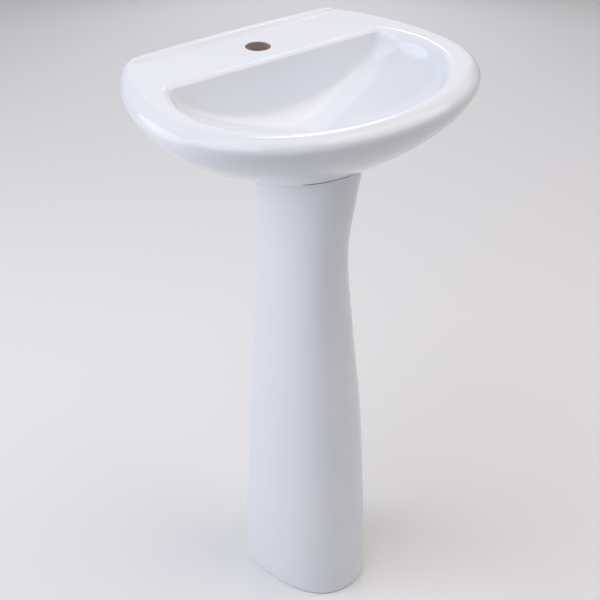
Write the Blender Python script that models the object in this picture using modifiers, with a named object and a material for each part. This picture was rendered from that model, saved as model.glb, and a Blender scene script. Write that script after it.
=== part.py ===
"""A white glazed pedestal sink, with the waste, trap and fixings it needs to work.

Metres, +Z up. The floor is Z = 0, the wall is the plane Y = WALL_Y, and the front faces -Y.
A "reach" is a distance out from the wall and a "drop" is a distance down from the deck, so a
point at reach r and drop d has Y = WALL_Y - r and Z = DECK_Z - d.
"""

import math

import bmesh
import bpy
from mathutils import Matrix, Vector

GAP = 0.0003                    # clearance between two pieces that touch

# Overall
WALL_Y = 0.183
DECK_Z = 0.8565
CHINA = 0.012                   # wall thickness of the basin casting

# Basin: outer body
RIM_HALF_WIDTH = 0.240
RIM_REACH = 0.366
RIM_CENTRE = 0.182
RIM_REAR_AXIS = 0.280
RIM_POWER = 2.12
ROLL_DROP = 0.0156              # the rim is widest this far below the deck
ROLL_INSET = 0.022              # the deck ends this far in from the widest line
BELLY_DROP = 0.147
BELLY_HALF_WIDTH = 0.072
BELLY_REACH = 0.2065
BELLY_CENTRE = 0.080
BELLY_REAR_AXIS = 0.170
BELLY_POWER = 1.64
BELLY_CURVE = 1.047
REAR_CORNER = 0.010

# Basin: raised ledge along the wall
LEDGE_HALF_LENGTH = 0.166
LEDGE_HEIGHT = 0.0055
LEDGE_END_HEIGHT = 0.0022
LEDGE_SUNK = 0.004

# Basin: bowl
BOWL_HALF_WIDTH = 0.190
BOWL_FRONT = 0.3295
BOWL_REAR = 0.108
BOWL_CENTRE = 0.180
BOWL_REAR_AXIS = 0.168
BOWL_POWER = 2.1
BOWL_CORNER = 0.012
BOWL_SOFTENING = 0.45           # growth of that rounding with depth
BOWL_DEPTH = 0.108
BOWL_BACK_SLOPE = 0.20
BOWL_EDGE = 0.0135              # rounding of the bowl's edge at the front and sides
BOWL_BACK_EDGE = 0.005          # rounding of its edge along the deck
BOWL_SHELL = 0.011

# Basin: holes
DRAIN_REACH = 0.190
BOWL_FLOOR_DROP = 0.0995
SEAT_DROP = 0.101
SEAT_RADIUS = 0.0315
DRAIN_HOLE_RADIUS = 0.0225
BOSS_DROP = 0.127
BOSS_RADIUS = 0.036
TAP_REACH = 0.0597
TAP_HOLE_RADIUS = 0.0175
DECK_THICKNESS = 0.013
CLAMP_PAD_RADIUS = 0.031        # a level pad round the tap hole, under the deck
CLAMP_PAD_HEIGHT = 0.0015
CAVITY_DROP = 0.135
SERVICE_HALF_WIDTH = 0.045
SERVICE_REACH = 0.222
APRON_DROP = 0.090
OVERFLOW_RIB = 0.012
OVERFLOW_BORE = 0.006
OVERFLOW_ROUTE = ((0.296, 0.026), (0.322, 0.034), (0.325, 0.056), (0.292, 0.088),
                  (0.244, 0.1095), (0.200, 0.1150))

# Wall bolts
BOLT_X = 0.105
BOLT_DROP = 0.050
BOLT_HOLE_RADIUS = 0.0065
STUD_RADIUS = 0.004

# Pedestal: (height, half width, reach of the nose)
PEDESTAL_STATIONS = (
    (0.000, 0.0866, 0.282),
    (0.110, 0.0858, 0.281),
    (0.220, 0.0812, 0.276),
    (0.340, 0.0755, 0.267),
    (0.470, 0.0645, 0.252),
    (0.600, 0.0545, 0.243),
    (0.690, 0.0585, 0.257),
    (0.770, 0.0630, 0.275),
)
PEDESTAL_BACK = 0.126
PEDESTAL_POWER = 2.3
PEDESTAL_WALL = 0.010
PEDESTAL_LIP = 0.016
FOOT_ROUNDING = 0.004
PAD_SPACE = 0.0016              # space between the pedestal and the basin
PAD_HALF_LENGTH = 0.016

# Waste: heights of the pieces on the drain's axis
SEAT_Z = DECK_Z - SEAT_DROP
BOSS_Z = DECK_Z - BOSS_DROP
THROAT_RADIUS = 0.0215
BODY_RADIUS = 0.0170
BODY_BORE = 0.0145
BODY_END_Z = 0.655
SPIDER_Z = 0.702
CARTRIDGE_TOP_Z = 0.737
CARTRIDGE_FOOT_Z = 0.690
STEM_FOOT_Z = 0.712
PIPE_RADIUS = 0.0159
PIPE_WALL = 0.0015
TRAP_RADIUS = 0.0190
TRAP_WALL = 0.0018
TRAP_MOUTH_Z = 0.566
TRAP_TURN_Z = 0.520
TRAP_TURN_RADIUS = 0.034
PIPE_END_Z = 0.545

# Floor screw
WEB_BACK = 0.1262
WEB_REACH = 0.152
WEB_THICKNESS = 0.012
FLOOR_SCREW_REACH = 0.139

ROUND_STEPS = 20
OUTLINE_POINTS = 48


def at(x, reach, z):
    """A point by its distance out from the wall."""
    return Vector((x, WALL_Y - reach, z))


# ---------------------------------------------------------------- scene helpers

def clear_scene():
    for thing in list(bpy.data.objects):
        bpy.data.objects.remove(thing, do_unlink=True)


def make_collection(name):
    collection = bpy.data.collections.new(name)
    bpy.context.scene.collection.children.link(collection)
    return collection


def make_material(name, colour, roughness, metallic=0.0):
    material = bpy.data.materials.new(name)
    material.use_nodes = True
    shader = material.node_tree.nodes["Principled BSDF"]
    shader.inputs["Base Color"].default_value = (*colour, 1.0)
    shader.inputs["Roughness"].default_value = roughness
    shader.inputs["Metallic"].default_value = metallic
    return material


def china_white():
    return make_material("glazed_china", (0.86, 0.87, 0.89), 0.10)


def chrome_plate():
    return make_material("chrome_plate", (0.78, 0.79, 0.80), 0.12, 1.0)


def brass():
    return make_material("brass", (0.72, 0.55, 0.28), 0.32, 1.0)


def zinc_steel():
    return make_material("zinc_steel", (0.62, 0.63, 0.62), 0.35, 1.0)


def black_rubber():
    return make_material("black_rubber", (0.035, 0.035, 0.035), 0.75)


def grey_rubber():
    return make_material("grey_rubber", (0.30, 0.30, 0.30), 0.70)


def white_plastic():
    return make_material("white_plastic", (0.80, 0.80, 0.78), 0.40)


def set_up():
    """Empty the scene; return the parts' and cutters' collections and the materials by name."""
    clear_scene()
    finishes = (china_white, chrome_plate, brass, zinc_steel, black_rubber, grey_rubber, white_plastic)
    materials = {finish.__name__: finish() for finish in finishes}
    return make_collection("pedestal_sink"), make_collection("cutters"), materials


PARTS, CUTTERS, MATERIALS = set_up()


def add_object(name, mesh, finish):
    """Link a mesh as a part, or as a cutter when it has no finish."""
    thing = bpy.data.objects.new(name, mesh)
    if finish:
        mesh.materials.append(MATERIALS[finish])
        mesh.shade_smooth()
        mesh.set_sharp_from_angle(angle=math.radians(35))
        PARTS.objects.link(thing)
    else:
        thing.hide_render = True
        thing.display_type = "WIRE"
        CUTTERS.objects.link(thing)
    return thing


def mesh_from(name, bm, finish):
    bmesh.ops.recalc_face_normals(bm, faces=bm.faces)
    mesh = bpy.data.meshes.new(name)
    bm.to_mesh(mesh)
    bm.free()
    return add_object(name, mesh, finish)


def boolean(thing, cutter, operation="DIFFERENCE"):
    modifier = thing.modifiers.new(cutter.name, "BOOLEAN")
    modifier.operation = operation
    modifier.solver = "EXACT"
    modifier.object = cutter


# ---------------------------------------------------------------- shape helpers

def loft(name, rings, finish=None):
    """Skin a stack of rings that have the same number of points, with both ends capped."""
    bm = bmesh.new()
    loops = [[bm.verts.new(point) for point in ring] for ring in rings]
    count = len(rings[0])
    for lower, upper in zip(loops, loops[1:]):
        for i in range(count):
            j = (i + 1) % count
            bm.faces.new((lower[i], lower[j], upper[j], upper[i]))
    bm.faces.new(loops[0])
    bm.faces.new(loops[-1])
    return mesh_from(name, bm, finish)


def block(name, low, high, finish=None):
    """A box between two (x, reach, z) corners."""
    bm = bmesh.new()
    size = [abs(b - a) for a, b in zip(low, high)]
    centre = at(*[(a + b) / 2 for a, b in zip(low, high)])
    place = Matrix.Translation(centre) @ Matrix.Diagonal((*size, 1.0))
    bmesh.ops.create_cube(bm, size=1.0, matrix=place)
    return mesh_from(name, bm, finish)


def rod(name, start, end, radius, finish=None, segments=ROUND_STEPS):
    """A cylinder, or a prism, between two points."""
    bm = bmesh.new()
    axis = end - start
    turn = axis.to_track_quat("Z", "Y").to_matrix().to_4x4()
    place = Matrix.Translation((start + end) / 2) @ turn
    bmesh.ops.create_cone(bm, cap_ends=True, segments=segments, radius1=radius, radius2=radius,
                          depth=axis.length, matrix=place)
    return mesh_from(name, bm, finish)


def turned(name, profile, finish, closed=True, steps=ROUND_STEPS):
    """A turned piece about Z from (radius, height) points running down its outer side.

    A closed profile comes back up the bore; an open one starts and ends on the axis.
    """
    mesh = bpy.data.meshes.new(name)
    points = [(radius, 0.0, height) for radius, height in profile]
    edges = [(i, i + 1) for i in range(len(points) - 1)]
    if closed:
        edges.append((len(points) - 1, 0))
    mesh.from_pydata(points, edges, [])
    thing = add_object(name, mesh, finish)
    screw = thing.modifiers.new("turn", "SCREW")
    screw.axis = "Z"
    screw.steps = steps
    screw.render_steps = steps
    screw.use_merge_vertices = True
    screw.merge_threshold = 0.00005
    screw.use_smooth_shade = True
    return thing


def on_drain_axis(thing):
    thing.location = at(0.0, DRAIN_REACH, 0.0)
    return thing


def ring_about(name, inner, outer, low, high, finish):
    """A plain washer or ring about Z."""
    return turned(name, ((outer, high), (outer, low), (inner, low), (inner, high)), finish)


def curve_mesh(name, points, radius, capped=True, resolution=3):
    """The mesh of a round bar along a polyline."""
    data = bpy.data.curves.new(name, "CURVE")
    data.dimensions = "3D"
    data.bevel_depth = radius
    data.bevel_resolution = resolution
    data.use_fill_caps = capped
    spline = data.splines.new("POLY")
    spline.points.add(len(points) - 1)
    for knot, point in zip(spline.points, points):
        knot.co = (*point, 1.0)
    guide = bpy.data.objects.new(name + "_guide", data)
    CUTTERS.objects.link(guide)
    bpy.context.view_layer.update()
    evaluated = guide.evaluated_get(bpy.context.evaluated_depsgraph_get())
    mesh = bpy.data.meshes.new_from_object(evaluated)
    bpy.data.objects.remove(guide, do_unlink=True)
    bm = bmesh.new()
    bm.from_mesh(mesh)
    bmesh.ops.remove_doubles(bm, verts=bm.verts, dist=0.00001)
    bmesh.ops.recalc_face_normals(bm, faces=bm.faces)
    bm.to_mesh(mesh)
    bm.free()
    return mesh


def pipe(name, points, radius, wall, finish):
    """An open-ended tube along a polyline."""
    thing = add_object(name, curve_mesh(name, points, radius, capped=False), finish)
    solidify = thing.modifiers.new("wall", "SOLIDIFY")
    solidify.thickness = wall
    solidify.offset = -1.0
    return thing


def arc(centre, radius, start, end, count):
    """(reach, z) points on an arc, with angles in degrees measured from +reach towards +z."""
    angles = [math.radians(start + (end - start) * i / count) for i in range(count + 1)]
    return [(centre[0] + radius * math.cos(a), centre[1] + radius * math.sin(a)) for a in angles]


def smooth_route(points, per_span=5):
    """A Catmull-Rom curve through (reach, drop) points, as points in space at X = 0."""
    padded = [points[0], *points, points[-1]]
    route = []
    for a, b, c, d in zip(padded, padded[1:], padded[2:], padded[3:]):
        for step in range(per_span):
            t = step / per_span
            route.append([0.5 * (2 * q + (r - p) * t + (2 * p - 5 * q + 4 * r - s) * t * t
                                 + (3 * q - p - 3 * r + s) * t ** 3)
                          for p, q, r, s in zip(a, b, c, d)])
    route.append(points[-1])
    return [at(0.0, reach, DECK_Z - drop) for reach, drop in route]


def smooth_max(a, b, blend):
    """The larger of two values, rounded where they are within the blend of each other."""
    share = max(blend - abs(a - b), 0.0) / blend
    return max(a, b) + share * share * blend / 4


def d_outline(half_width, front, centre, rear_axis, back, power, corner, z, points=OUTLINE_POINTS):
    """A D-shaped ring: a rounded front, and a straight back that cuts a half ellipse short."""
    ring = []
    for i in range(points):
        angle = 2 * math.pi * i / points
        across, along = math.cos(angle), math.sin(angle)
        if along >= 0:
            x = half_width * math.copysign(abs(across) ** (2 / power), across)
            reach = centre + (front - centre) * along ** (2 / power)
        else:
            x = half_width * across
            reach = smooth_max(centre + rear_axis * along, back, corner)
        ring.append(at(x, reach, z))
    return ring


# ---------------------------------------------------------------- basin

def roll_inset(depth, roll):
    """How far a quarter-round edge stands in at a depth below its top."""
    if depth >= roll:
        return 0.0
    return 1.0 - math.sqrt(1.0 - (1.0 - max(depth, 0.0) / roll) ** 2)


def body_ring(drop, offset=0.0):
    """The basin's outer outline at a drop below the deck, moved outwards by an offset."""
    inset = ROLL_INSET * roll_inset(drop, ROLL_DROP)
    fall = max(drop - ROLL_DROP, 0.0) / (BELLY_DROP - ROLL_DROP)
    swell = (1.0 - min(fall, 1.0) ** BELLY_POWER) ** BELLY_CURVE

    def between(belly, rim):
        return belly + (rim - belly) * swell

    back = 0.0 if offset == 0.0 else -offset
    return d_outline(
        between(BELLY_HALF_WIDTH, RIM_HALF_WIDTH) - inset + offset,
        between(BELLY_REACH, RIM_REACH) - inset + offset,
        between(BELLY_CENTRE, RIM_CENTRE),
        between(BELLY_REAR_AXIS, RIM_REAR_AXIS),
        back, RIM_POWER, REAR_CORNER, DECK_Z - drop)


def body_drops(first=0.0, last=BELLY_DROP):
    roll = [ROLL_DROP * (1 - math.cos(math.radians(18 * i))) for i in range(6)]
    belly = [ROLL_DROP + (BELLY_DROP - ROLL_DROP) * math.sin(math.radians(11.25 * i)) for i in range(1, 9)]
    return [first] + [drop for drop in roll + belly if first < drop < last] + [last]


def body_loft(name, offset=0.0, finish=None):
    """The basin's outer body as a solid, grown by an offset on every side."""
    drops = body_drops()
    rings = [body_ring(drop, offset) for drop in drops]
    if offset:
        for ring in rings[-1:]:
            rings.append([point - Vector((0.0, 0.0, offset)) for point in ring])
    return loft(name, rings, finish)


def bowl_ring(drop, offset=0.0):
    """The bowl's outline at a drop below the deck, moved outwards by an offset."""
    depth = max(drop, 0.0)
    size = 1.0 - (depth / BOWL_DEPTH) ** 2
    edge = BOWL_EDGE * roll_inset(depth, BOWL_EDGE)
    back_edge = BOWL_BACK_EDGE * roll_inset(depth, BOWL_BACK_EDGE)
    return d_outline(
        BOWL_HALF_WIDTH * size + edge + offset,
        DRAIN_REACH + (BOWL_FRONT - DRAIN_REACH) * size + edge + offset,
        DRAIN_REACH + (BOWL_CENTRE - DRAIN_REACH) * size,
        BOWL_REAR_AXIS * size + offset,
        BOWL_REAR + BOWL_BACK_SLOPE * depth - back_edge - offset,
        BOWL_POWER, BOWL_CORNER + BOWL_SOFTENING * depth, DECK_Z - drop - offset)


def bowl_cutter():
    edge = [BOWL_EDGE * (1 - math.cos(math.radians(22.5 * i))) for i in range(5)]
    wall = [BOWL_EDGE + (BOWL_FLOOR_DROP - BOWL_EDGE) * i / 8 for i in range(1, 9)]
    return loft("bowl_space", [bowl_ring(drop) for drop in [-0.012] + edge + wall])


def bowl_shell_cutter():
    """The bowl and its china shell, which the hollow under the basin goes round."""
    wall = [BOWL_EDGE + (BOWL_FLOOR_DROP - BOWL_EDGE) * i / 6 for i in range(1, 7)]
    drops = [-BOWL_SHELL - 0.004, BOWL_EDGE] + wall
    return loft("bowl_shell", [bowl_ring(drop, BOWL_SHELL) for drop in drops])


def hollow_cutter():
    """The open space inside the basin, under the deck and round the bowl's shell."""
    middle = [drop for drop in body_drops() if 0.020 < drop < CAVITY_DROP - 0.004]
    drops = [DECK_THICKNESS] + middle + [CAVITY_DROP]
    hollow = loft("hollow", [body_ring(drop, -CHINA) for drop in drops])
    boolean(hollow, bowl_shell_cutter())
    boolean(hollow, rod("drain_boss", at(0, DRAIN_REACH, BOSS_Z), at(0, DRAIN_REACH, SEAT_Z + 0.02),
                        BOSS_RADIUS))
    ceiling = DECK_Z - DECK_THICKNESS
    boolean(hollow, rod("clamp_pad", at(0, TAP_REACH, ceiling - CLAMP_PAD_HEIGHT), at(0, TAP_REACH, DECK_Z),
                        CLAMP_PAD_RADIUS, segments=32))
    rib = curve_mesh("overflow_rib", smooth_route(OVERFLOW_ROUTE[1:]), OVERFLOW_RIB, resolution=2)
    boolean(hollow, add_object("overflow_rib", rib, None))
    return hollow


def ledge_blank():
    """The low ledge against the wall: level at the wall, with a cove down to the deck."""
    stations = 17
    rings = []
    for i in range(stations):
        x = LEDGE_HALF_LENGTH * (2 * i / (stations - 1) - 1)
        share = abs(x) / LEDGE_HALF_LENGTH
        height = LEDGE_HEIGHT + (LEDGE_END_HEIGHT - LEDGE_HEIGHT) * share ** 2
        if share > 0.99:
            height = 0.0008
        back = GAP + 0.004 * share ** 10
        section = ((back, -LEDGE_SUNK), (back, height), (0.0085, height), (0.0110, height * 0.85),
                   (0.0135, height * 0.35), (0.0175, -0.0002), (0.0190, -LEDGE_SUNK))
        rings.append([at(x, reach, DECK_Z + rise) for reach, rise in section])
    return loft("ledge", rings)


def make_basin():
    basin = body_loft("basin", finish="china_white")
    boolean(basin, ledge_blank(), "UNION")
    boolean(basin, bowl_cutter())
    boolean(basin, hollow_cutter())
    boolean(basin, block("service_opening", (-SERVICE_HALF_WIDTH, -0.01, DECK_Z - BELLY_DROP - 0.01),
                         (SERVICE_HALF_WIDTH, SERVICE_REACH, DECK_Z - CAVITY_DROP + 0.002)))
    boolean(basin, block("apron_opening", (-SERVICE_HALF_WIDTH, -0.01, DECK_Z - BELLY_DROP - 0.01),
                         (SERVICE_HALF_WIDTH, CHINA + 0.004, DECK_Z - APRON_DROP)))
    boolean(basin, rod("drain_seat", at(0, DRAIN_REACH, SEAT_Z), at(0, DRAIN_REACH, SEAT_Z + 0.03),
                       SEAT_RADIUS, segments=32))
    boolean(basin, rod("drain_hole", at(0, DRAIN_REACH, BOSS_Z - 0.01), at(0, DRAIN_REACH, SEAT_Z + 0.01),
                       DRAIN_HOLE_RADIUS, segments=32))
    boolean(basin, rod("tap_hole", at(0, TAP_REACH, DECK_Z - 0.03), at(0, TAP_REACH, DECK_Z + 0.01),
                       TAP_HOLE_RADIUS, segments=32))
    for side, sign in (("left", -1), ("right", 1)):
        z = DECK_Z - BOLT_DROP
        boolean(basin, rod(f"bolt_hole_{side}", at(sign * BOLT_X, -0.01, z), at(sign * BOLT_X, 0.03, z),
                           BOLT_HOLE_RADIUS, segments=16))
    channel = curve_mesh("overflow_channel", smooth_route(OVERFLOW_ROUTE), OVERFLOW_BORE, resolution=2)
    boolean(basin, add_object("overflow_channel", channel, None))
    return basin


# ---------------------------------------------------------------- pedestal

def pedestal_size(z):
    """Half width and nose reach at a height, on a smooth curve through the stations."""
    heights = [station[0] for station in PEDESTAL_STATIONS]
    last = len(heights) - 1
    i = max(k for k in range(last) if heights[k] <= z)
    t = (z - heights[i]) / (heights[i + 1] - heights[i])

    def slope(k, column):
        low, high = max(k - 1, 0), min(k + 1, last)
        rise = PEDESTAL_STATIONS[high][column] - PEDESTAL_STATIONS[low][column]
        return rise / (heights[high] - heights[low])

    def value(column):
        span = heights[i + 1] - heights[i]
        start, end = PEDESTAL_STATIONS[i][column], PEDESTAL_STATIONS[i + 1][column]
        return ((2 * t ** 3 - 3 * t ** 2 + 1) * start + (t ** 3 - 2 * t ** 2 + t) * span * slope(i, column)
                + (3 * t ** 2 - 2 * t ** 3) * end + (t ** 3 - t ** 2) * span * slope(i + 1, column))

    return value(1), value(2)


def pedestal_side(half_width, back, nose, z, points=24):
    """One skin of the pedestal's section, from its right back corner round the nose to the left."""
    side = []
    for i in range(points + 1):
        angle = math.pi * i / points
        across, along = math.cos(angle), math.sin(angle)
        x = half_width * math.copysign(abs(across) ** (2 / PEDESTAL_POWER), across)
        side.append(at(x, back + (nose - back) * along ** (2 / PEDESTAL_POWER), z))
    return side


def pedestal_section(z, inset=0.0):
    """The pedestal's C-shaped section: a rounded nose, two sides, and two lips turned in at the back."""
    half_width, nose = pedestal_size(z)
    lip_x, lip_back = half_width - PEDESTAL_LIP, PEDESTAL_BACK + PEDESTAL_WALL
    outer = pedestal_side(half_width - inset, PEDESTAL_BACK, nose - inset, z)
    inner = pedestal_side(half_width - PEDESTAL_WALL, lip_back, nose - PEDESTAL_WALL, z)
    left_lip = [at(-lip_x, PEDESTAL_BACK, z), at(-lip_x, lip_back, z)]
    right_lip = [at(lip_x, lip_back, z), at(lip_x, PEDESTAL_BACK, z)]
    return outer + left_lip + inner[::-1] + right_lip


def pedestal_loft(name, finish=None):
    foot = [(0.0, FOOT_ROUNDING * 0.75), (FOOT_ROUNDING * 0.35, FOOT_ROUNDING * 0.25), (FOOT_ROUNDING, 0.0)]
    top = PEDESTAL_STATIONS[-1][0]
    steps = 14
    levels = foot + [(FOOT_ROUNDING + (top - FOOT_ROUNDING) * i / steps, 0.0) for i in range(1, steps + 1)]
    return loft(name, [pedestal_section(z, inset) for z, inset in levels], finish)


def make_pedestal():
    pedestal = pedestal_loft("pedestal", "china_white")
    boolean(pedestal, body_loft("basin_clearance", PAD_SPACE))
    half_width = PEDESTAL_STATIONS[0][1] - PEDESTAL_WALL / 2
    web = block("floor_web", (-half_width, WEB_BACK, 0.0), (half_width, WEB_REACH, WEB_THICKNESS))
    boolean(pedestal, web, "UNION")
    boolean(pedestal, rod("floor_hole", at(0, FLOOR_SCREW_REACH, -0.01), at(0, FLOOR_SCREW_REACH, 0.03),
                          0.005, segments=16))
    return pedestal


def make_pads():
    """Rubber pads that fill the space between the pedestal's top edge and the basin."""
    wall = pedestal_loft("pedestal_blank")
    below = body_loft("pad_underside", PAD_SPACE - GAP)
    above = body_loft("pad_topside", GAP)
    half_width, nose = pedestal_size(DECK_Z - BELLY_DROP)
    side_start = PEDESTAL_BACK + PEDESTAL_WALL + 0.006
    side_reach = (side_start, side_start + 2 * PAD_HALF_LENGTH)
    spots = (
        ("pedestal_pad_left", (-half_width - 0.004, side_reach[0]), (-half_width + 0.02, side_reach[1])),
        ("pedestal_pad_right", (half_width - 0.02, side_reach[0]), (half_width + 0.004, side_reach[1])),
        ("pedestal_pad_front", (-PAD_HALF_LENGTH, nose - 0.02), (PAD_HALF_LENGTH, nose + 0.03)),
    )
    for name, low, high in spots:
        pad = block(name, (*low, 0.69), (*high, 0.765), "grey_rubber")
        boolean(pad, wall, "INTERSECT")
        boolean(pad, below, "INTERSECT")
        boolean(pad, above)


# ---------------------------------------------------------------- waste and plug

def make_drain_body():
    """Flange, threaded body and the bridge that carries the plug's cartridge."""
    body = on_drain_axis(turned("drain_body", (
        (0.0205, SEAT_Z + 0.0044), (0.0285, SEAT_Z + 0.0040), (0.0300, SEAT_Z + 0.0028),
        (0.0300, SEAT_Z + 0.0015), (THROAT_RADIUS, SEAT_Z + 0.0015), (THROAT_RADIUS, SEAT_Z - 0.0055),
        (BODY_RADIUS, SEAT_Z - 0.0090), (BODY_RADIUS, BODY_END_Z), (BODY_BORE, BODY_END_Z),
        (BODY_BORE, SEAT_Z - 0.0100), (0.0192, SEAT_Z - 0.0045)), "chrome_plate"))
    bridge = block("bridge", (-0.0157, DRAIN_REACH - 0.002, SPIDER_Z - 0.003),
                   (0.0157, DRAIN_REACH + 0.002, SPIDER_Z + 0.003))
    hub = rod("bridge_hub", at(0, DRAIN_REACH, SPIDER_Z - 0.004), at(0, DRAIN_REACH, SPIDER_Z + 0.004),
              0.0112)
    bore = rod("bridge_bore", at(0, DRAIN_REACH, SPIDER_Z - 0.01), at(0, DRAIN_REACH, SPIDER_Z + 0.01),
               0.0088)
    slots = block("overflow_slots", (-0.004, DRAIN_REACH - 0.03, SEAT_Z - 0.0165),
                  (0.004, DRAIN_REACH + 0.03, SEAT_Z - 0.0095))
    boolean(body, bridge, "UNION")
    boolean(body, hub, "UNION")
    boolean(body, bore)
    boolean(body, slots)


def make_drain_seals():
    low = SEAT_Z + GAP
    seal = ring_about("flange_seal", THROAT_RADIUS + GAP, 0.0285, low, SEAT_Z + 0.0012, "black_rubber")
    on_drain_axis(seal)
    top = BOSS_Z - GAP
    on_drain_axis(turned("cone_washer", (
        (0.0205, top + 0.0080), (0.0221, top + 0.0005), (0.0221, top), (0.0290, top), (0.0290, top - 0.0085),
        (BODY_RADIUS + GAP, top - 0.0085), (BODY_RADIUS + GAP, top + 0.0080)), "black_rubber"))
    slip_ring = ring_about("slip_ring", BODY_RADIUS + GAP, 0.0270, top - 0.0108, top - 0.0088,
                           "white_plastic")
    on_drain_axis(slip_ring)
    nut_top = top - 0.0111
    nut = rod("drain_lock_nut", at(0, DRAIN_REACH, nut_top - 0.010), at(0, DRAIN_REACH, nut_top),
              0.0285, "brass", 6)
    boolean(nut, rod("lock_nut_bore", at(0, DRAIN_REACH, nut_top - 0.02),
                     at(0, DRAIN_REACH, nut_top + 0.01), BODY_RADIUS + GAP))


def make_plug():
    """Dome cap, seal and stem move together; the cartridge and its spring stay in the drain body."""
    axis = bpy.data.objects.new("plug_axis", None)
    PARTS.objects.link(axis)
    axis.location = at(0.0, DRAIN_REACH, 0.0)
    cap = turned("plug_cap", (
        (0.0, SEAT_Z + 0.0070), (0.0080, SEAT_Z + 0.0064), (0.0140, SEAT_Z + 0.0048),
        (0.0178, SEAT_Z + 0.0026), (0.0184, SEAT_Z + 0.0016), (0.0184, SEAT_Z + 0.0006),
        (0.0, SEAT_Z + 0.0006)), "chrome_plate", closed=False)
    seal = ring_about("plug_seal", 0.0100, 0.0182, SEAT_Z - 0.0014, SEAT_Z + 0.0003, "black_rubber")
    stem = turned("plug_stem", (
        (0.0, SEAT_Z + 0.0003), (0.0040, SEAT_Z + 0.0003), (0.0040, STEM_FOOT_Z + 0.003),
        (0.0062, STEM_FOOT_Z + 0.003), (0.0062, STEM_FOOT_Z), (0.0, STEM_FOOT_Z)), "brass", closed=False)
    for piece in (cap, seal, stem):
        piece.parent = axis
    on_drain_axis(turned("plug_cartridge", (
        (0.0, CARTRIDGE_FOOT_Z + 0.0015), (0.0068, CARTRIDGE_FOOT_Z + 0.0015),
        (0.0068, CARTRIDGE_TOP_Z - 0.0018), (0.0046, CARTRIDGE_TOP_Z - 0.0018), (0.0046, CARTRIDGE_TOP_Z),
        (0.0085, CARTRIDGE_TOP_Z), (0.0085, SPIDER_Z + 0.0070), (0.0103, SPIDER_Z + 0.0070),
        (0.0103, SPIDER_Z + 0.0043), (0.0085, SPIDER_Z + 0.0043), (0.0085, CARTRIDGE_FOOT_Z),
        (0.0, CARTRIDGE_FOOT_Z)), "brass", closed=False))
    make_plug_spring()


def make_plug_spring():
    turns, per_turn, wire = 5, 10, 0.0006
    low, high = CARTRIDGE_FOOT_Z + 0.0015 + GAP + wire, STEM_FOOT_Z - GAP - wire
    coil = []
    for i in range(turns * per_turn + 1):
        angle = 2 * math.pi * i / per_turn
        z = low + (high - low) * i / (turns * per_turn)
        coil.append(at(0.0050 * math.cos(angle), DRAIN_REACH + 0.0050 * math.sin(angle), z))
    add_object("plug_spring", curve_mesh("plug_spring", coil, wire, resolution=1), "zinc_steel")


# ---------------------------------------------------------------- trap

def make_tailpiece():
    on_drain_axis(turned("tailpiece", (
        (0.0200, BODY_END_Z + 0.021), (0.0200, BODY_END_Z - 0.001), (PIPE_RADIUS, BODY_END_Z - 0.006),
        (PIPE_RADIUS, PIPE_END_Z), (PIPE_RADIUS - PIPE_WALL, PIPE_END_Z),
        (PIPE_RADIUS - PIPE_WALL, BODY_END_Z - GAP),
        (BODY_RADIUS + GAP, BODY_END_Z - GAP), (BODY_RADIUS + GAP, BODY_END_Z + 0.021)), "chrome_plate"))


def make_slip_joint(name, reach):
    """A slip nut and its washer, where a pipe slides into a mouth of the trap."""
    mouth = TRAP_MOUTH_Z
    nut = turned(f"{name}_nut", (
        (0.0215, mouth + 0.0080), (0.0240, mouth + 0.0060), (0.0240, mouth - 0.0100), (0.0228, mouth - 0.0120),
        (TRAP_RADIUS + GAP, mouth - 0.0120), (TRAP_RADIUS + GAP, mouth + 0.0050),
        (PIPE_RADIUS + GAP, mouth + 0.0050), (PIPE_RADIUS + GAP, mouth + 0.0080)), "chrome_plate")
    washer = ring_about(f"{name}_washer", PIPE_RADIUS + GAP, TRAP_RADIUS, mouth + GAP, mouth + 0.0047,
                        "grey_rubber")
    for piece in (nut, washer):
        piece.location = at(0.0, reach, 0.0)


def make_trap():
    """The U-bend; its outlet is left open for the building's own waste pipe."""
    make_slip_joint("trap_inlet", DRAIN_REACH)
    outlet_reach = DRAIN_REACH - 2 * TRAP_TURN_RADIUS
    make_slip_joint("trap_outlet", outlet_reach)
    turn = arc((DRAIN_REACH - TRAP_TURN_RADIUS, TRAP_TURN_Z), TRAP_TURN_RADIUS, 0, -180, 12)
    bend = [(DRAIN_REACH, TRAP_MOUTH_Z), *turn, (outlet_reach, TRAP_MOUTH_Z)]
    pipe("trap_bend", [at(0, reach, z) for reach, z in bend], TRAP_RADIUS, TRAP_WALL, "chrome_plate")


# ---------------------------------------------------------------- fixings

def make_wall_fixing(side, sign):
    """A hanger stud from the wall, through the basin's back, with its washer and nut."""
    x, z = sign * BOLT_X, DECK_Z - BOLT_DROP
    rod(f"wall_stud_{side}", at(x, GAP, z), at(x, 0.032, z), STUD_RADIUS, "zinc_steel", 16)
    washer = rod(f"wall_washer_{side}", at(x, CHINA + GAP, z), at(x, CHINA + 0.0023, z), 0.012, "zinc_steel")
    nut = rod(f"wall_nut_{side}", at(x, CHINA + 0.0026, z), at(x, CHINA + 0.0091, z), 0.0075, "zinc_steel", 6)
    bore = rod(f"stud_clearance_{side}", at(x, 0.0, z), at(x, 0.05, z), STUD_RADIUS + GAP, None, 16)
    for piece in (washer, nut):
        boolean(piece, bore)


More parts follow.
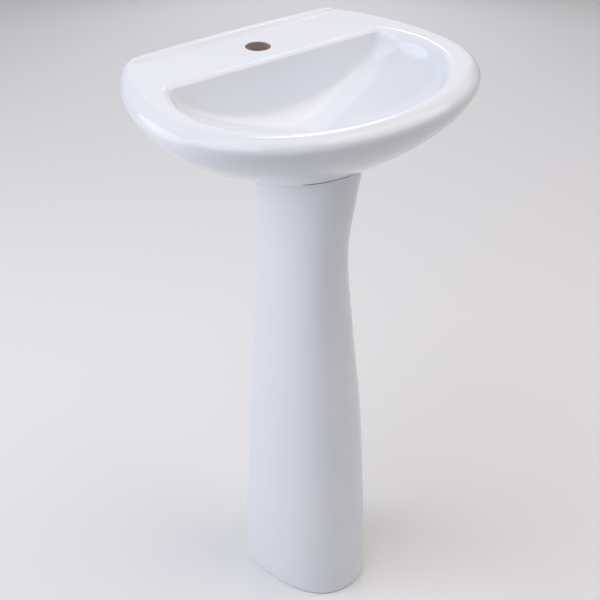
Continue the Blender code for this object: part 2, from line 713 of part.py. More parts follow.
def make_floor_fixing():
    """The screw that holds the pedestal to the floor, its washer and its snap cap."""
    deck = WEB_THICKNESS
    pieces = (
        turned("floor_screw", ((0.0, deck + 0.0080), (0.0050, deck + 0.0068), (0.0074, deck + 0.0040),
                               (0.0076, deck + 0.0021), (0.0036, deck + 0.0021), (0.0036, GAP), (0.0, GAP)),
               "zinc_steel", closed=False),
        ring_about("floor_washer", 0.0040, 0.0105, deck + GAP, deck + 0.0018, "white_plastic"),
        turned("floor_screw_cap", ((0.0, deck + 0.0180), (0.0070, deck + 0.0165), (0.0118, deck + 0.0115),
                                   (0.0132, deck + GAP), (0.0118, deck + GAP), (0.0106, deck + 0.0108),
                                   (0.0062, deck + 0.0150), (0.0, deck + 0.0163)), "white_plastic", closed=False),
    )
    for piece in pieces:
        piece.location = at(0.0, FLOOR_SCREW_REACH, 0.0)


def build():
    make_basin()
    make_pedestal()
    make_pads()
    make_drain_body()
    make_drain_seals()
    make_plug()
    make_tailpiece()
    make_trap()
    for side, sign in (("left", -1), ("right", 1)):
        make_wall_fixing(side, sign)
    make_floor_fixing()


build()
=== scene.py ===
"""The looks of a white glazed pedestal sink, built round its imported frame.

Metres, +Z up. The floor is Z = 0, the wall is the plane Y = 0.183 and the front faces -Y. A
"reach" is a distance out from the wall and a "drop" is a distance down from the deck.
"""

import logging
import math
from dataclasses import dataclass
from enum import Enum
from typing import Callable, Optional, Sequence

import bmesh
import bpy
from mathutils import Matrix, Vector

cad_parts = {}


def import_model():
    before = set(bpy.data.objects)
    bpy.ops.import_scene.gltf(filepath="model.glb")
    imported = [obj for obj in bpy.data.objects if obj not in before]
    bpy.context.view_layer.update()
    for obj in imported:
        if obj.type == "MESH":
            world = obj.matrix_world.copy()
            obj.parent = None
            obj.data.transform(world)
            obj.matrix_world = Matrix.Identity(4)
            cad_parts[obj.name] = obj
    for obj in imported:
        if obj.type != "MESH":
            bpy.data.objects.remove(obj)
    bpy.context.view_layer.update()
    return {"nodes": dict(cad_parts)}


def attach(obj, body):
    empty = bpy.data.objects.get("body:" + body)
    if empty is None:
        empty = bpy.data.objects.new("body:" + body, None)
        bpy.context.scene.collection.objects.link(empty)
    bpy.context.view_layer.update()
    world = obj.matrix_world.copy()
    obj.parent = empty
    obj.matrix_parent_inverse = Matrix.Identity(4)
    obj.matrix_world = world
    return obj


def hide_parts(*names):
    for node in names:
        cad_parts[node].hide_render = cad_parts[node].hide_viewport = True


LOG = logging.getLogger("pedestal_sink")

WALL_Y = 0.183
DECK_Z = 0.8565
DRAIN_REACH = 0.190
SEAT_DROP = 0.101  # the seat of the drain's flange in the bowl's floor
SEAT_Z = DECK_Z - SEAT_DROP
BRIDGE_Z = 0.702  # the bridge across the drain that holds the plug's cartridge
PIPE_RADIUS = 0.0159
CHINA = 0.012  # thickness of the basin's walls
STUD_X = 0.105
STUD_DROP = 0.050
FLOOR_SCREW_REACH = 0.139
WEB_THICKNESS = 0.012  # the pedestal's web, which the floor screw passes through
GAP = 0.0003  # clearance between two pieces that touch
PAST = 0.01  # how far a cutter stands past the face that it starts from
THROUGH = 0.03  # how deep a cutter goes to pass through a wall
SQUARE = 0.999  # least cosine for a face that is square to an axis
NEAR = 0.0002  # greatest distance of a face that lies on a plane

Point = tuple[float, float]
Colour = tuple[float, float, float]
Ring = list[Vector]


def at(x: float, reach: float, z: float) -> Vector:
    """A point by its distance out from the wall."""
    return Vector((x, WALL_Y - reach, z))


def facing_out(x: float, reach: float, z: float) -> Matrix:
    """A matrix that lays an upright piece at a point with its axis square to the wall."""
    return Matrix.Translation(at(x, reach, z)) @ Matrix.Rotation(math.radians(90), 4, "X")


# ---------------------------------------------------------------- named options


class Body(Enum):
    """The moving bodies of the frame."""

    SINK = "sink"
    PLUG = "plug"


class Slot(Enum):
    """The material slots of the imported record."""

    CHINA = "glazed_china"
    CHROME = "chrome_plate"
    BRASS = "brass"
    ZINC = "zinc_steel"
    BLACK_RUBBER = "black_rubber"
    GREY_RUBBER = "grey_rubber"
    PLASTIC = "white_plastic"


class Side(Enum):
    """The two hands of a mirrored fixing."""

    LEFT = -1
    RIGHT = 1


# ---------------------------------------------------------------- finishes


class NodeBench:
    """A short way to lay out the nodes of one material."""

    def __init__(self, name: str) -> None:
        """Start a material with a bare Principled shader.

        Args:
            name: The material's name.
        """
        self.material = bpy.data.materials.new(name)
        self.material.use_nodes = True
        self.tree = self.material.node_tree
        self.shader = self.tree.nodes["Principled BSDF"]
        self.coordinates = self.tree.nodes.new("ShaderNodeTexCoord")

    def set(self, **values: object) -> None:
        """Set constants on the shader, with underscores standing for spaces in socket names.

        Args:
            values: Socket names and their values; colours may have three numbers.
        """
        for key, value in values.items():
            socket = self.shader.inputs[key.replace("_", " ")]
            if isinstance(value, tuple) and len(value) == 3 and socket.type == "RGBA":
                value = (*value, 1.0)
            socket.default_value = value

    def join(self, source: bpy.types.NodeSocket, target: bpy.types.NodeSocket) -> None:
        """Link two sockets."""
        self.tree.links.new(source, target)

    def drive(self, source: bpy.types.NodeSocket, socket: str) -> None:
        """Link a source to one of the shader's sockets by name."""
        self.join(source, self.shader.inputs[socket])

    def stretched(self, stretch: Sequence[float]) -> bpy.types.NodeSocket:
        """Object coordinates scaled along each axis.

        Args:
            stretch: Scale along X, Y and Z.

        Returns:
            The scaled coordinates.
        """
        mapping = self.tree.nodes.new("ShaderNodeMapping")
        mapping.inputs["Scale"].default_value = tuple(stretch)
        self.join(self.coordinates.outputs["Object"], mapping.inputs["Vector"])
        return mapping.outputs["Vector"]

    def noise(self, scale: float, detail: float = 3.0, roughness: float = 0.5,
              stretch: Sequence[float] = (1.0, 1.0, 1.0)) -> bpy.types.NodeSocket:
        """Soft noise fixed to the piece.

        Args:
            scale: Cells per metre.
            detail: Octaves.
            roughness: Share of each finer octave.
            stretch: Scale along X, Y and Z.

        Returns:
            The noise value's socket.
        """
        node = self.tree.nodes.new("ShaderNodeTexNoise")
        node.inputs["Scale"].default_value = scale
        node.inputs["Detail"].default_value = detail
        node.inputs["Roughness"].default_value = roughness
        self.join(self.stretched(stretch), node.inputs["Vector"])
        return node.outputs["Fac"]

    def spread(self, value: bpy.types.NodeSocket, low: float, high: float,
               start: float = 0.3, end: float = 0.7) -> bpy.types.NodeSocket:
        """Map a value's middle range to a new range, clamped.

        Args:
            value: The value to map.
            low: Result at the start of the range.
            high: Result at the end of the range.
            start: Start of the range read.
            end: End of the range read.

        Returns:
            The mapped value's socket.
        """
        node = self.tree.nodes.new("ShaderNodeMapRange")
        for key, number in (("From Min", start), ("From Max", end), ("To Min", low), ("To Max", high)):
            node.inputs[key].default_value = number
        self.join(value, node.inputs["Value"])
        return node.outputs["Result"]

    def blend(self, share: bpy.types.NodeSocket, first: object, second: object) -> bpy.types.NodeSocket:
        """Mix two colours by a share.

        Args:
            share: 0 gives the first colour and 1 the second.
            first: A colour or a socket.
            second: A colour or a socket.

        Returns:
            The mixed colour's socket.
        """
        node = self.tree.nodes.new("ShaderNodeMix")
        node.data_type = "RGBA"
        self.join(share, node.inputs["Factor"])
        for socket, value in ((node.inputs["A"], first), (node.inputs["B"], second)):
            colour_socket = self.colour_input(node, socket.name)
            if isinstance(value, bpy.types.NodeSocket):
                self.join(value, colour_socket)
            else:
                colour_socket.default_value = (*value, 1.0)
        return next(s for s in node.outputs if s.type == "RGBA")

    @staticmethod
    def colour_input(node: bpy.types.Node, name: str) -> bpy.types.NodeSocket:
        """The colour input of a Mix node by name."""
        return next(s for s in node.inputs if s.name == name and s.type == "RGBA")

    def bump(self, layers: Sequence[tuple[bpy.types.NodeSocket, float, float]]) -> None:
        """Stack relief on the shader's normal.

        Args:
            layers: (height socket, strength, depth in metres) from coarse to fine.
        """
        below: Optional[bpy.types.NodeSocket] = None
        for height, strength, depth in layers:
            node = self.tree.nodes.new("ShaderNodeBump")
            node.inputs["Strength"].default_value = strength
            node.inputs["Distance"].default_value = depth
            self.join(height, node.inputs["Height"])
            if below is not None:
                self.join(below, node.inputs["Normal"])
            below = node.outputs["Normal"]
        if below is not None:
            self.drive(below, "Normal")


@dataclass(frozen=True)
class Finish:
    """A named surface finish. Each kind lays out its own nodes."""

    name: str
    slot: Slot

    def material(self) -> bpy.types.Material:
        """The finish's material, made the first time it is asked for."""
        return bpy.data.materials.get(self.name) or self.make()

    def make(self) -> bpy.types.Material:
        """Lay out the material's nodes."""
        raise NotImplementedError


@dataclass(frozen=True)
class ChinaGlaze(Finish):
    """Clear gloss glaze fired over white vitreous china."""

    body: Colour = (0.800, 0.822, 0.868)
    pooled: Colour = (0.780, 0.812, 0.866)
    speck: Colour = (0.42, 0.38, 0.33)
    gloss: Point = (0.08, 0.12)

    def make(self) -> bpy.types.Material:
        """White body with faint clouding, rare pin specks and a slightly wavy gloss.

        Returns:
            The material.
        """
        bench = NodeBench(self.name)
        cloud = bench.spread(bench.noise(7.0, 2.0), 0.0, 1.0)
        white = bench.blend(cloud, self.body, self.pooled)
        specks = bench.spread(bench.noise(420.0, 1.0), 0.0, 0.35, 0.80, 0.86)
        bench.drive(bench.blend(specks, white, self.speck), "Base Color")
        bench.drive(bench.spread(bench.noise(30.0, 3.0), *self.gloss), "Roughness")
        bench.set(IOR=1.5)
        bench.bump(((bench.noise(26.0, 1.0), 0.20, 0.0006), (bench.noise(330.0, 1.0), 0.10, 0.00004)))
        return bench.material


@dataclass(frozen=True)
class BareClay(Finish):
    """Fired clay where the glaze stops: holes, feet and the faces against wall and floor."""

    light: Colour = (0.47, 0.375, 0.320)
    dark: Colour = (0.33, 0.245, 0.200)

    def make(self) -> bpy.types.Material:
        """Matt, slightly sandy clay.

        Returns:
            The material.
        """
        bench = NodeBench(self.name)
        patches = bench.spread(bench.noise(90.0, 4.0, 0.6), 0.0, 1.0)
        bench.drive(bench.blend(patches, self.light, self.dark), "Base Color")
        bench.set(Roughness=0.85)
        bench.bump(((bench.noise(1400.0, 2.0, 0.7), 0.5, 0.00025),))
        return bench.material


@dataclass(frozen=True)
class PlatedMetal(Finish):
    """Bright plating with faint water marks and a very fine polish grain."""

    bright: Colour = (0.80, 0.81, 0.82)
    dull: Colour = (0.70, 0.71, 0.72)
    gloss: Point = (0.06, 0.16)
    grain: float = 0.00001
    grain_stretch: tuple[float, float, float] = (1.0, 1.0, 12.0)

    def make(self) -> bpy.types.Material:
        """Metal whose gloss and colour drift slightly over the surface.

        Returns:
            The material.
        """
        bench = NodeBench(self.name)
        marks = bench.noise(60.0, 4.0, 0.6)
        bench.drive(bench.blend(bench.spread(marks, 0.0, 1.0), self.bright, self.dull), "Base Color")
        bench.drive(bench.spread(marks, *self.gloss), "Roughness")
        bench.set(Metallic=1.0)
        bench.bump(((bench.noise(900.0, 2.0, 0.5, self.grain_stretch), 0.4, self.grain),))
        return bench.material


@dataclass(frozen=True)
class Rubber(Finish):
    """Moulded rubber, matt, with bloom and fine pitting."""

    deep: Colour = (0.022, 0.022, 0.023)
    bloom: Colour = (0.052, 0.052, 0.054)

    def make(self) -> bpy.types.Material:
        """Matt rubber with a dusty bloom.

        Returns:
            The material.
        """
        bench = NodeBench(self.name)
        dust = bench.noise(120.0, 5.0, 0.65)
        bench.drive(bench.blend(bench.spread(dust, 0.0, 1.0), self.deep, self.bloom), "Base Color")
        bench.drive(bench.spread(dust, 0.62, 0.82), "Roughness")
        bench.bump(((bench.noise(1600.0, 2.0, 0.6), 0.3, 0.00012),))
        return bench.material


@dataclass(frozen=True)
class MouldedPlastic(Finish):
    """White moulded plastic with a soft spark-eroded texture."""

    light: Colour = (0.80, 0.80, 0.77)
    shade: Colour = (0.74, 0.735, 0.70)

    def make(self) -> bpy.types.Material:
        """Satin plastic, slightly yellowed in patches.

        Returns:
            The material.
        """
        bench = NodeBench(self.name)
        patches = bench.noise(40.0, 3.0)
        bench.drive(bench.blend(bench.spread(patches, 0.0, 1.0), self.light, self.shade), "Base Color")
        bench.drive(bench.spread(bench.noise(800.0, 2.0), 0.34, 0.48), "Roughness")
        bench.bump(((bench.noise(2200.0, 1.0), 0.15, 0.00006),))
        return bench.material


GLAZE = ChinaGlaze("china_glaze", Slot.CHINA)
CLAY = BareClay("bare_clay", Slot.CHINA)
CHROME = PlatedMetal("bright_chrome", Slot.CHROME)
BRASS = PlatedMetal("turned_brass", Slot.BRASS, bright=(0.78, 0.60, 0.30), dull=(0.60, 0.43, 0.20),
                    gloss=(0.22, 0.38), grain=0.00003)
ZINC = PlatedMetal("zinc_plate", Slot.ZINC, bright=(0.66, 0.67, 0.66), dull=(0.50, 0.51, 0.50),
                   gloss=(0.28, 0.45), grain=0.00003)
BLACK_RUBBER = Rubber("seal_rubber", Slot.BLACK_RUBBER)
GREY_RUBBER = Rubber("pad_rubber", Slot.GREY_RUBBER, deep=(0.21, 0.21, 0.215), bloom=(0.32, 0.32, 0.32))
PLASTIC = MouldedPlastic("moulded_plastic", Slot.PLASTIC)


# ---------------------------------------------------------------- mesh tools


def skin(rings: Sequence[Sequence[Vector]], capped: bool = True, closed: bool = False) -> bmesh.types.BMesh:
    """Skin a stack of closed rings that have the same number of points.

    Args:
        rings: The rings in order.
        capped: Whether the first and last rings are filled.
        closed: Whether the last ring joins the first, as on a tube with an inner and outer wall.

    Returns:
        The mesh being built.
    """
    bm = bmesh.new()
    loops = [[bm.verts.new(point) for point in ring] for ring in rings]
    count = len(rings[0])
    pairs = list(zip(loops, loops[1:]))
    if closed:
        pairs.append((loops[-1], loops[0]))
    for lower, upper in pairs:
        for i in range(count):
            j = (i + 1) % count
            bm.faces.new((lower[i], lower[j], upper[j], upper[i]))
    if capped and not closed:
        bm.faces.new(loops[0])
        bm.faces.new(loops[-1])
    return bm


def turned(profile: Sequence[Point], centre: Vector, steps: int = 72,
           radius_at: Optional[Callable[[float, float, float], float]] = None) -> bmesh.types.BMesh:
    """A turned shape about a vertical axis.

    Args:
        profile: (radius, height) points. A profile that starts and ends on the axis is solid; any
            other is joined end to start as a ring.
        centre: A point on the axis; its height is added to the profile's heights.
        steps: Points round the axis.
        radius_at: Changes a radius by (radius, height, angle), for lobes and threads.

    Returns:
        The mesh being built.
    """
    solid = profile[0][0] == 0.0 and profile[-1][0] == 0.0
    body = profile[1:-1] if solid else profile
    rings = []
    for radius, height in body:
        ring = []
        for i in range(steps):
            angle = 2 * math.pi * i / steps
            r = radius_at(radius, height, angle) if radius_at else radius
            ring.append(centre + Vector((r * math.cos(angle), r * math.sin(angle), height)))
        rings.append(ring)
    bm = skin(rings, capped=False, closed=not solid)
    if solid:
        bm.verts.ensure_lookup_table()
        for pole, start in ((profile[0][1], 0), (profile[-1][1], len(body) - 1)):
            tip = bm.verts.new(centre + Vector((0.0, 0.0, pole)))
            bm.verts.ensure_lookup_table()
            loop = [bm.verts[start * steps + i] for i in range(steps)]
            for i in range(steps):
                bm.faces.new((tip, loop[i], loop[(i + 1) % steps]))
    return bm


def rod(radius: float, low: float, high: float) -> tuple[Point, ...]:
    """The profile of a solid cylinder."""
    return (0.0, low), (radius, low), (radius, high), (0.0, high)


def collar(bore: float, radius: float, low: float, high: float) -> tuple[Point, ...]:
    """The profile of a flat ring."""
    return (bore, high), (radius, high), (radius, low), (bore, low)


def raised(profile: Sequence[Point], datum: float) -> list[Point]:
    """A profile whose heights were given above a datum."""
    return [(radius, datum + height) for radius, height in profile]


def laid(bm: bmesh.types.BMesh, turn: Matrix) -> bmesh.types.BMesh:
    """Move a mesh being built by a matrix."""
    bmesh.ops.transform(bm, matrix=turn, verts=bm.verts)
    return bm


def thread(pitch: float, depth: float, low: float, high: float) -> Callable[[float, float, float], float]:
    """A screw thread cut inwards between two heights.

    Args:
        pitch: Height of one turn.
        depth: Depth of the groove.
        low: Bottom of the thread.
        high: Top of the thread.

    Returns:
        A function that changes a radius by (radius, height, angle).
    """
    def cut(radius: float, height: float, angle: float) -> float:
        """The radius with the groove taken out of it.

        Args:
            radius: The plain radius.
            height: Height of the point.
            angle: Its angle round the axis.

        Returns:
            The threaded radius.
        """
        if not low < height < high:
            return radius
        phase = (height / pitch - angle / (2 * math.pi)) % 1.0
        return radius - depth * (1.0 - abs(2 * phase - 1.0))

    return cut


def run(start: float, end: float, step: float) -> list[float]:
    """Even values between two ends.

    Args:
        start: The first value.
        end: The last value.
        step: Their distance apart, met as nearly as the ends allow.

    Returns:
        The values, both ends included.
    """
    count = max(1, round(abs(end - start) / step))
    return [start + (end - start) * i / count for i in range(count + 1)]


def bar_rings(points: Ring, radius: float, sides: int) -> list[Ring]:
    """Rings of a round bar along a line of points in the plane X = 0.

    Args:
        points: The line's points.
        radius: The bar's radius.
        sides: Points round the bar.

    Returns:
        One ring for each point, square to the line.
    """
    side = Vector((1.0, 0.0, 0.0))
    turns = [2 * math.pi * k / sides for k in range(sides)]
    rings = []
    for i, point in enumerate(points):
        ahead = points[min(i + 1, len(points) - 1)] - points[max(i - 1, 0)]
        up = ahead.normalized().cross(side)
        rings.append([point + side * (radius * math.cos(a)) + up * (radius * math.sin(a)) for a in turns])
    return rings


def swept(path: Sequence[Point], radius: float, wall: float, sides: int = 48) -> bmesh.types.BMesh:
    """An open-ended pipe along a path in the plane X = 0.

    Args:
        path: (reach, z) points.
        radius: Outer radius.
        wall: Wall thickness.
        sides: Points round the pipe.

    Returns:
        The mesh being built.
    """
    points = [at(0.0, reach, z) for reach, z in path]
    outer, inner = bar_rings(points, radius, sides), bar_rings(points, radius - wall, sides)
    return skin(outer + inner[::-1], closed=True)


def arc(centre: Point, radius: float, start: float, end: float, count: int) -> list[Point]:
    """(reach, z) points on an arc.

    Args:
        centre: The arc's centre.
        radius: Its radius.
        start: Start angle in degrees, from +reach towards +z.
        end: End angle in degrees.
        count: Number of steps.

    Returns:
        The points, both ends included.
    """
    angles = [math.radians(start + (end - start) * i / count) for i in range(count + 1)]
    return [(centre[0] + radius * math.cos(a), centre[1] + radius * math.sin(a)) for a in angles]


def block(low: Sequence[float], high: Sequence[float]) -> bmesh.types.BMesh:
    """A box between two corners.

    Args:
        low: One corner's x, reach and z.
        high: The other corner's x, reach and z.

    Returns:
        The mesh being built.
    """
    bm = bmesh.new()
    size = [abs(b - a) for a, b in zip(low, high)]
    centre = at(*[(a + b) / 2 for a, b in zip(low, high)])
    bmesh.ops.create_cube(bm, size=1.0, matrix=Matrix.Translation(centre) @ Matrix.Diagonal((*size, 1.0)))
    return bm


def plain_object(name: str, bm: bmesh.types.BMesh) -> bpy.types.Object:
    """Turn a mesh being built into an object of the scene, with its normals outwards.

    Args:
        name: The object's name.
        bm: The mesh, which is freed.

    Returns:
        The object.
    """
    bmesh.ops.recalc_face_normals(bm, faces=bm.faces)
    mesh = bpy.data.meshes.new(name)
    bm.to_mesh(mesh)
    bm.free()
    thing = bpy.data.objects.new(name, mesh)
    bpy.context.scene.collection.objects.link(thing)
    return thing


def settle(thing: bpy.types.Object) -> bpy.types.Object:
    """Apply an object's modifiers to its mesh.

    Args:
        thing: The object.

    Returns:
        The same object.
    """
    bpy.context.view_layer.update()
    graph = bpy.context.evaluated_depsgraph_get()
    mesh = bpy.data.meshes.new_from_object(thing.evaluated_get(graph))
    thing.modifiers.clear()
    thing.data = mesh
    return thing


def cut(thing: bpy.types.Object, cutters: Sequence[bpy.types.Object], operation: str = "DIFFERENCE") -> None:
    """Cut or join solids exactly, then delete the cutters.

    Args:
        thing: The solid that is kept.
        cutters: The other solids.
        operation: DIFFERENCE, UNION or INTERSECT.
    """
    for cutter in cutters:
        for material in thing.data.materials[len(cutter.data.materials):]:
            cutter.data.materials.append(material)
        modifier = thing.modifiers.new(cutter.name, "BOOLEAN")
        modifier.operation = operation
        modifier.solver = "EXACT"
        modifier.object = cutter
    settle(thing)
    for cutter in cutters:
        bpy.data.objects.remove(cutter, do_unlink=True)


def soften(thing: bpy.types.Object, width: float, segments: int = 2, angle: float = 35.0) -> bpy.types.Object:
    """Round an object's hard edges.

    Args:
        thing: The object.
        width: Width of the rounding.
        segments: Faces across it.
        angle: Least angle in degrees between two faces for their edge to be rounded.

    Returns:
        The same object.
    """
    bevel = thing.modifiers.new("edges", "BEVEL")
    bevel.width = width
    bevel.segments = segments
    bevel.limit_method = "ANGLE"
    bevel.angle_limit = math.radians(angle)
    return settle(thing)


def dress(thing: bpy.types.Object, finishes: Sequence[Finish], body: Body, stands_for: Sequence[str],
          crease: float = 40.0) -> bpy.types.Object:
    """Give a finished piece its materials and its body, and hide the frame's nodes that it stands for.

    Args:
        thing: The piece.
        finishes: Finishes by material index.
        body: The body that it rides on.
        stands_for: The frame's nodes that it replaces.
        crease: Angle in degrees above which an edge is drawn sharp.

    Returns:
        The same piece.
    """
    slots = [face.material_index for face in thing.data.polygons]
    thing.data.materials.clear()
    for finish in finishes:
        thing.data.materials.append(finish.material())
    thing.data.polygons.foreach_set("material_index", slots)
    thing.data.shade_smooth()
    thing.data.set_sharp_from_angle(angle=math.radians(crease))
    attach(thing, body.value)
    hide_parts(*stands_for)
    LOG.info("%s: %d faces", thing.name, len(thing.data.polygons))
    return thing


def fitting(name: str, bm: bmesh.types.BMesh, finish: Finish, body: Body = Body.SINK,
            rounding: float = 0.0, crease: float = 40.0) -> bpy.types.Object:
    """Make a piece of one finish that stands for the frame's node of the same name.

    Args:
        name: The piece's name.
        bm: The mesh being built, which is freed.
        finish: Its finish.
        body: The body that it rides on.
        rounding: Width of the rounding on its hard edges, or 0 for none.
        crease: Angle in degrees above which an edge is drawn sharp.

    Returns:
        The piece.
    """
    piece = plain_object(name, bm)
    if rounding:
        soften(piece, rounding)
    return dress(piece, (finish,), body, (name,), crease)


def redress(node: bpy.types.Object, finish: Finish) -> None:
    """Give a carried-over node a finish.

    Args:
        node: The frame's own object.
        finish: Its finish.
    """
    node.data.materials.clear()
    node.data.materials.append(finish.material())
    LOG.info("%s: carried over", node.name)


# ---------------------------------------------------------------- basin


def smooth_max(a: float, b: float, blend: float) -> float:
    """The larger of two values, rounded where they are close.

    Args:
        a: One value.
        b: The other value.
        blend: Difference within which the corner between them is rounded.

    Returns:
        The rounded larger value.
    """
    share = max(blend - abs(a - b), 0.0) / blend
    return max(a, b) + share * share * blend / 4


def smooth_step(value: float, start: float, end: float) -> float:
    """0 before start, 1 after end, and an even curve between."""
    t = min(max((value - start) / (end - start), 0.0), 1.0)
    return t * t * (3 - 2 * t)


def quarter_round(depth: float, roll: float) -> float:
    """How far a quarter-round edge stands in.

    Args:
        depth: Depth below the edge's top.
        roll: Depth over which the edge turns.

    Returns:
        The distance as a share of the edge's width, 1 at the top and 0 below the turn.
    """
    if depth >= roll:
        return 0.0
    return 1.0 - math.sqrt(1.0 - (1.0 - max(depth, 0.0) / roll) ** 2)


@dataclass
class Outline:
    """A D shape: a rounded front and a straight back that cuts a half ellipse short."""

    half_width: float
    front: float
    centre: float
    rear_axis: float
    back: float
    power: float
    corner: float

    def ring(self, z: float, angles: Sequence[float]) -> Ring:
        """The outline's points at a height.

        Args:
            z: The height.
            angles: Angles round the shape, from +X towards the front.

        Returns:
            One point for each angle.
        """
        points = []
        for angle in angles:
            across, along = math.cos(angle), math.sin(angle)
            if along >= 0:
                x = self.half_width * math.copysign(abs(across) ** (2 / self.power), across)
                reach = self.centre + (self.front - self.centre) * along ** (2 / self.power)
            else:
                x = self.half_width * across
                reach = smooth_max(self.centre + self.rear_axis * along, self.back, self.corner)
            points.append(at(x, reach, z))
        return points


@dataclass
class Basin:
    """The basin: one casting with a bowl, a deck, a low ledge at the wall and a hollow underside."""

    rim_half_width: float = 0.240
    rim_reach: float = 0.366
    rim_centre: float = 0.182
    rim_rear_axis: float = 0.280
    rim_power: float = 2.12
    roll_drop: float = 0.0156
    roll_inset_size: float = 0.022
    belly_drop: float = 0.147
    belly_half_width: float = 0.072
    belly_reach: float = 0.2065
    belly_centre: float = 0.080
    belly_rear_axis: float = 0.170
    belly_power: float = 1.64
    belly_curve: float = 1.047
    rear_corner: float = 0.010
    ledge_height: float = 0.0055
    ledge_end_height: float = 0.0022
    ledge_half_length: float = 0.172
    ledge_fade: float = 0.006
    ledge_flat: float = 0.0085
    ledge_cove: float = 0.0150
    ledge_edge: float = 0.0015
    bowl_half_width: float = 0.190
    bowl_front: float = 0.3295
    bowl_rear: float = 0.108
    bowl_centre: float = 0.180
    bowl_rear_axis: float = 0.168
    bowl_power: float = 2.1
    bowl_corner: float = 0.012
    bowl_softening: float = 0.45
    bowl_depth: float = 0.108
    bowl_back_slope: float = 0.20
    bowl_edge: float = 0.0135
    bowl_back_edge: float = 0.005
    bowl_shell: float = 0.011
    bowl_floor_drop: float = 0.0995
    china: float = CHINA
    deck_thickness: float = 0.013
    clamp_pad_radius: float = 0.031
    clamp_pad_height: float = 0.0015
    cavity_drop: float = 0.135
    drain_reach: float = DRAIN_REACH
    seat_drop: float = SEAT_DROP
    seat_radius: float = 0.0315
    seat_flare: float = 0.0006
    drain_hole_radius: float = 0.0225
    boss_drop: float = 0.127
    boss_radius: float = 0.036
    tap_reach: float = 0.0597
    tap_hole_radius: float = 0.0175
    tap_hole_edge: float = 0.0012
    service_half_width: float = 0.045
    service_reach: float = 0.222
    apron_drop: float = 0.090
    overflow_rib: float = 0.012
    overflow_bore: float = 0.006
    overflow_route: tuple[Point, ...] = ((0.296, 0.026), (0.322, 0.034), (0.325, 0.056), (0.292, 0.088),
                                         (0.244, 0.1095), (0.200, 0.1150))
    bolt_x: float = STUD_X
    bolt_drop: float = STUD_DROP
    bolt_hole_radius: float = 0.0065
    points: int = 288
    hidden_points: int = 96

    def angles(self, count: int) -> list[float]:
        """Angles round an outline, with extra ones where the ledge ends.

        Args:
            count: Number of even steps.

        Returns:
            The angles in order.
        """
        even = [2 * math.pi * i / count for i in range(count)]
        if count < self.points:
            return even
        half = self.rim_half_width - self.roll_inset_size
        turn = math.acos((self.ledge_half_length - self.ledge_fade / 2) / half)
        step = 2 * math.pi / count
        finer, each_way = 5, 14
        extra = [k * step / finer for k in range(-each_way, each_way + 1)]
        ends = [base + offset for base in (-turn, math.pi + turn) for offset in extra]
        ends = [angle % (2 * math.pi) for angle in ends]
        kept = [angle for angle in even if all(abs(angle - end) > step / 6 for end in ends)]
        return sorted(kept + ends)

    def body_outline(self, drop: float, offset: float = 0.0) -> Outline:
        """The outer shape at a drop below the deck.

        Args:
            drop: The drop.
            offset: Growth on every side; negative shrinks.

        Returns:
            The outline.
        """
        inset = self.roll_inset_size * quarter_round(drop, self.roll_drop)
        fall = min(max(drop - self.roll_drop, 0.0) / (self.belly_drop - self.roll_drop), 1.0)
        swell = (1.0 - fall ** self.belly_power) ** self.belly_curve

        def between(belly: float, rim: float) -> float:
            """A size between the belly's and the rim's."""
            return belly + (rim - belly) * swell

        return Outline(
            half_width=between(self.belly_half_width, self.rim_half_width) - inset + offset,
            front=between(self.belly_reach, self.rim_reach) - inset + offset,
            centre=between(self.belly_centre, self.rim_centre),
            rear_axis=between(self.belly_rear_axis, self.rim_rear_axis),
            back=-offset, power=self.rim_power, corner=self.rear_corner)

    def bowl_outline(self, drop: float, offset: float = 0.0) -> Outline:
        """The bowl's shape at a drop below the deck.

        Args:
            drop: The drop.
            offset: Growth on every side.

        Returns:
            The outline.
        """
        depth = max(drop, 0.0)
        size = 1.0 - (depth / self.bowl_depth) ** 2
        edge = self.bowl_edge * quarter_round(depth, self.bowl_edge)
        back_edge = self.bowl_back_edge * quarter_round(depth, self.bowl_back_edge)
        return Outline(
            half_width=self.bowl_half_width * size + edge + offset,
            front=self.drain_reach + (self.bowl_front - self.drain_reach) * size + edge + offset,
            centre=self.drain_reach + (self.bowl_centre - self.drain_reach) * size,
            rear_axis=self.bowl_rear_axis * size + offset,
            back=self.bowl_rear + self.bowl_back_slope * depth - back_edge - offset,
            power=self.bowl_power, corner=self.bowl_corner + self.bowl_softening * depth)

    def ledge_rise(self, x: float, reach: float) -> float:
        """Height of the deck's surface above the deck, with the ledge along the wall.

        Args:
            x: Distance from the middle.
            reach: Distance out from the wall.

        Returns:
            The rise.
        """
        share = min(abs(x) / self.ledge_half_length, 1.0)
        height = self.ledge_height + (self.ledge_end_height - self.ledge_height) * share ** 2
        height -= self.ledge_edge * quarter_round(reach, self.ledge_edge)
        cove = 1.0 - smooth_step(reach, self.ledge_flat, self.ledge_cove)
        last = self.ledge_half_length + 0.001
        end = 1.0 - smooth_step(abs(x), last - self.ledge_fade, last)
        return max(height, 0.0) * cove * end

    def deck_rings(self, angles: Sequence[float]) -> list[Ring]:
        """Rings of the deck from the rim's inner line to the bowl's edge.

        Args:
            angles: Angles round the outline.

        Returns:
            The rings, outermost first.
        """
        outer = self.body_outline(0.0).ring(DECK_Z, angles)
        inner = self.bowl_outline(0.0).ring(DECK_Z, angles)
        span = self.bowl_rear - self.bowl_back_edge
        edge, cove, deck = (0.0, 0.0003, 0.0008, 0.0015, 0.0040, 0.0070), run(0.0085, 0.0185, 0.0008), 0.0220
        shares = [reach / span for reach in (*edge, *cove)] + run(deck / span, 0.97, 0.06)
        rings = []
        for share in shares:
            ring = [a.lerp(b, share) for a, b in zip(outer, inner)]
            for point in ring:
                point.z += self.ledge_rise(point.x, WALL_Y - point.y)
            rings.append(ring)
        return rings

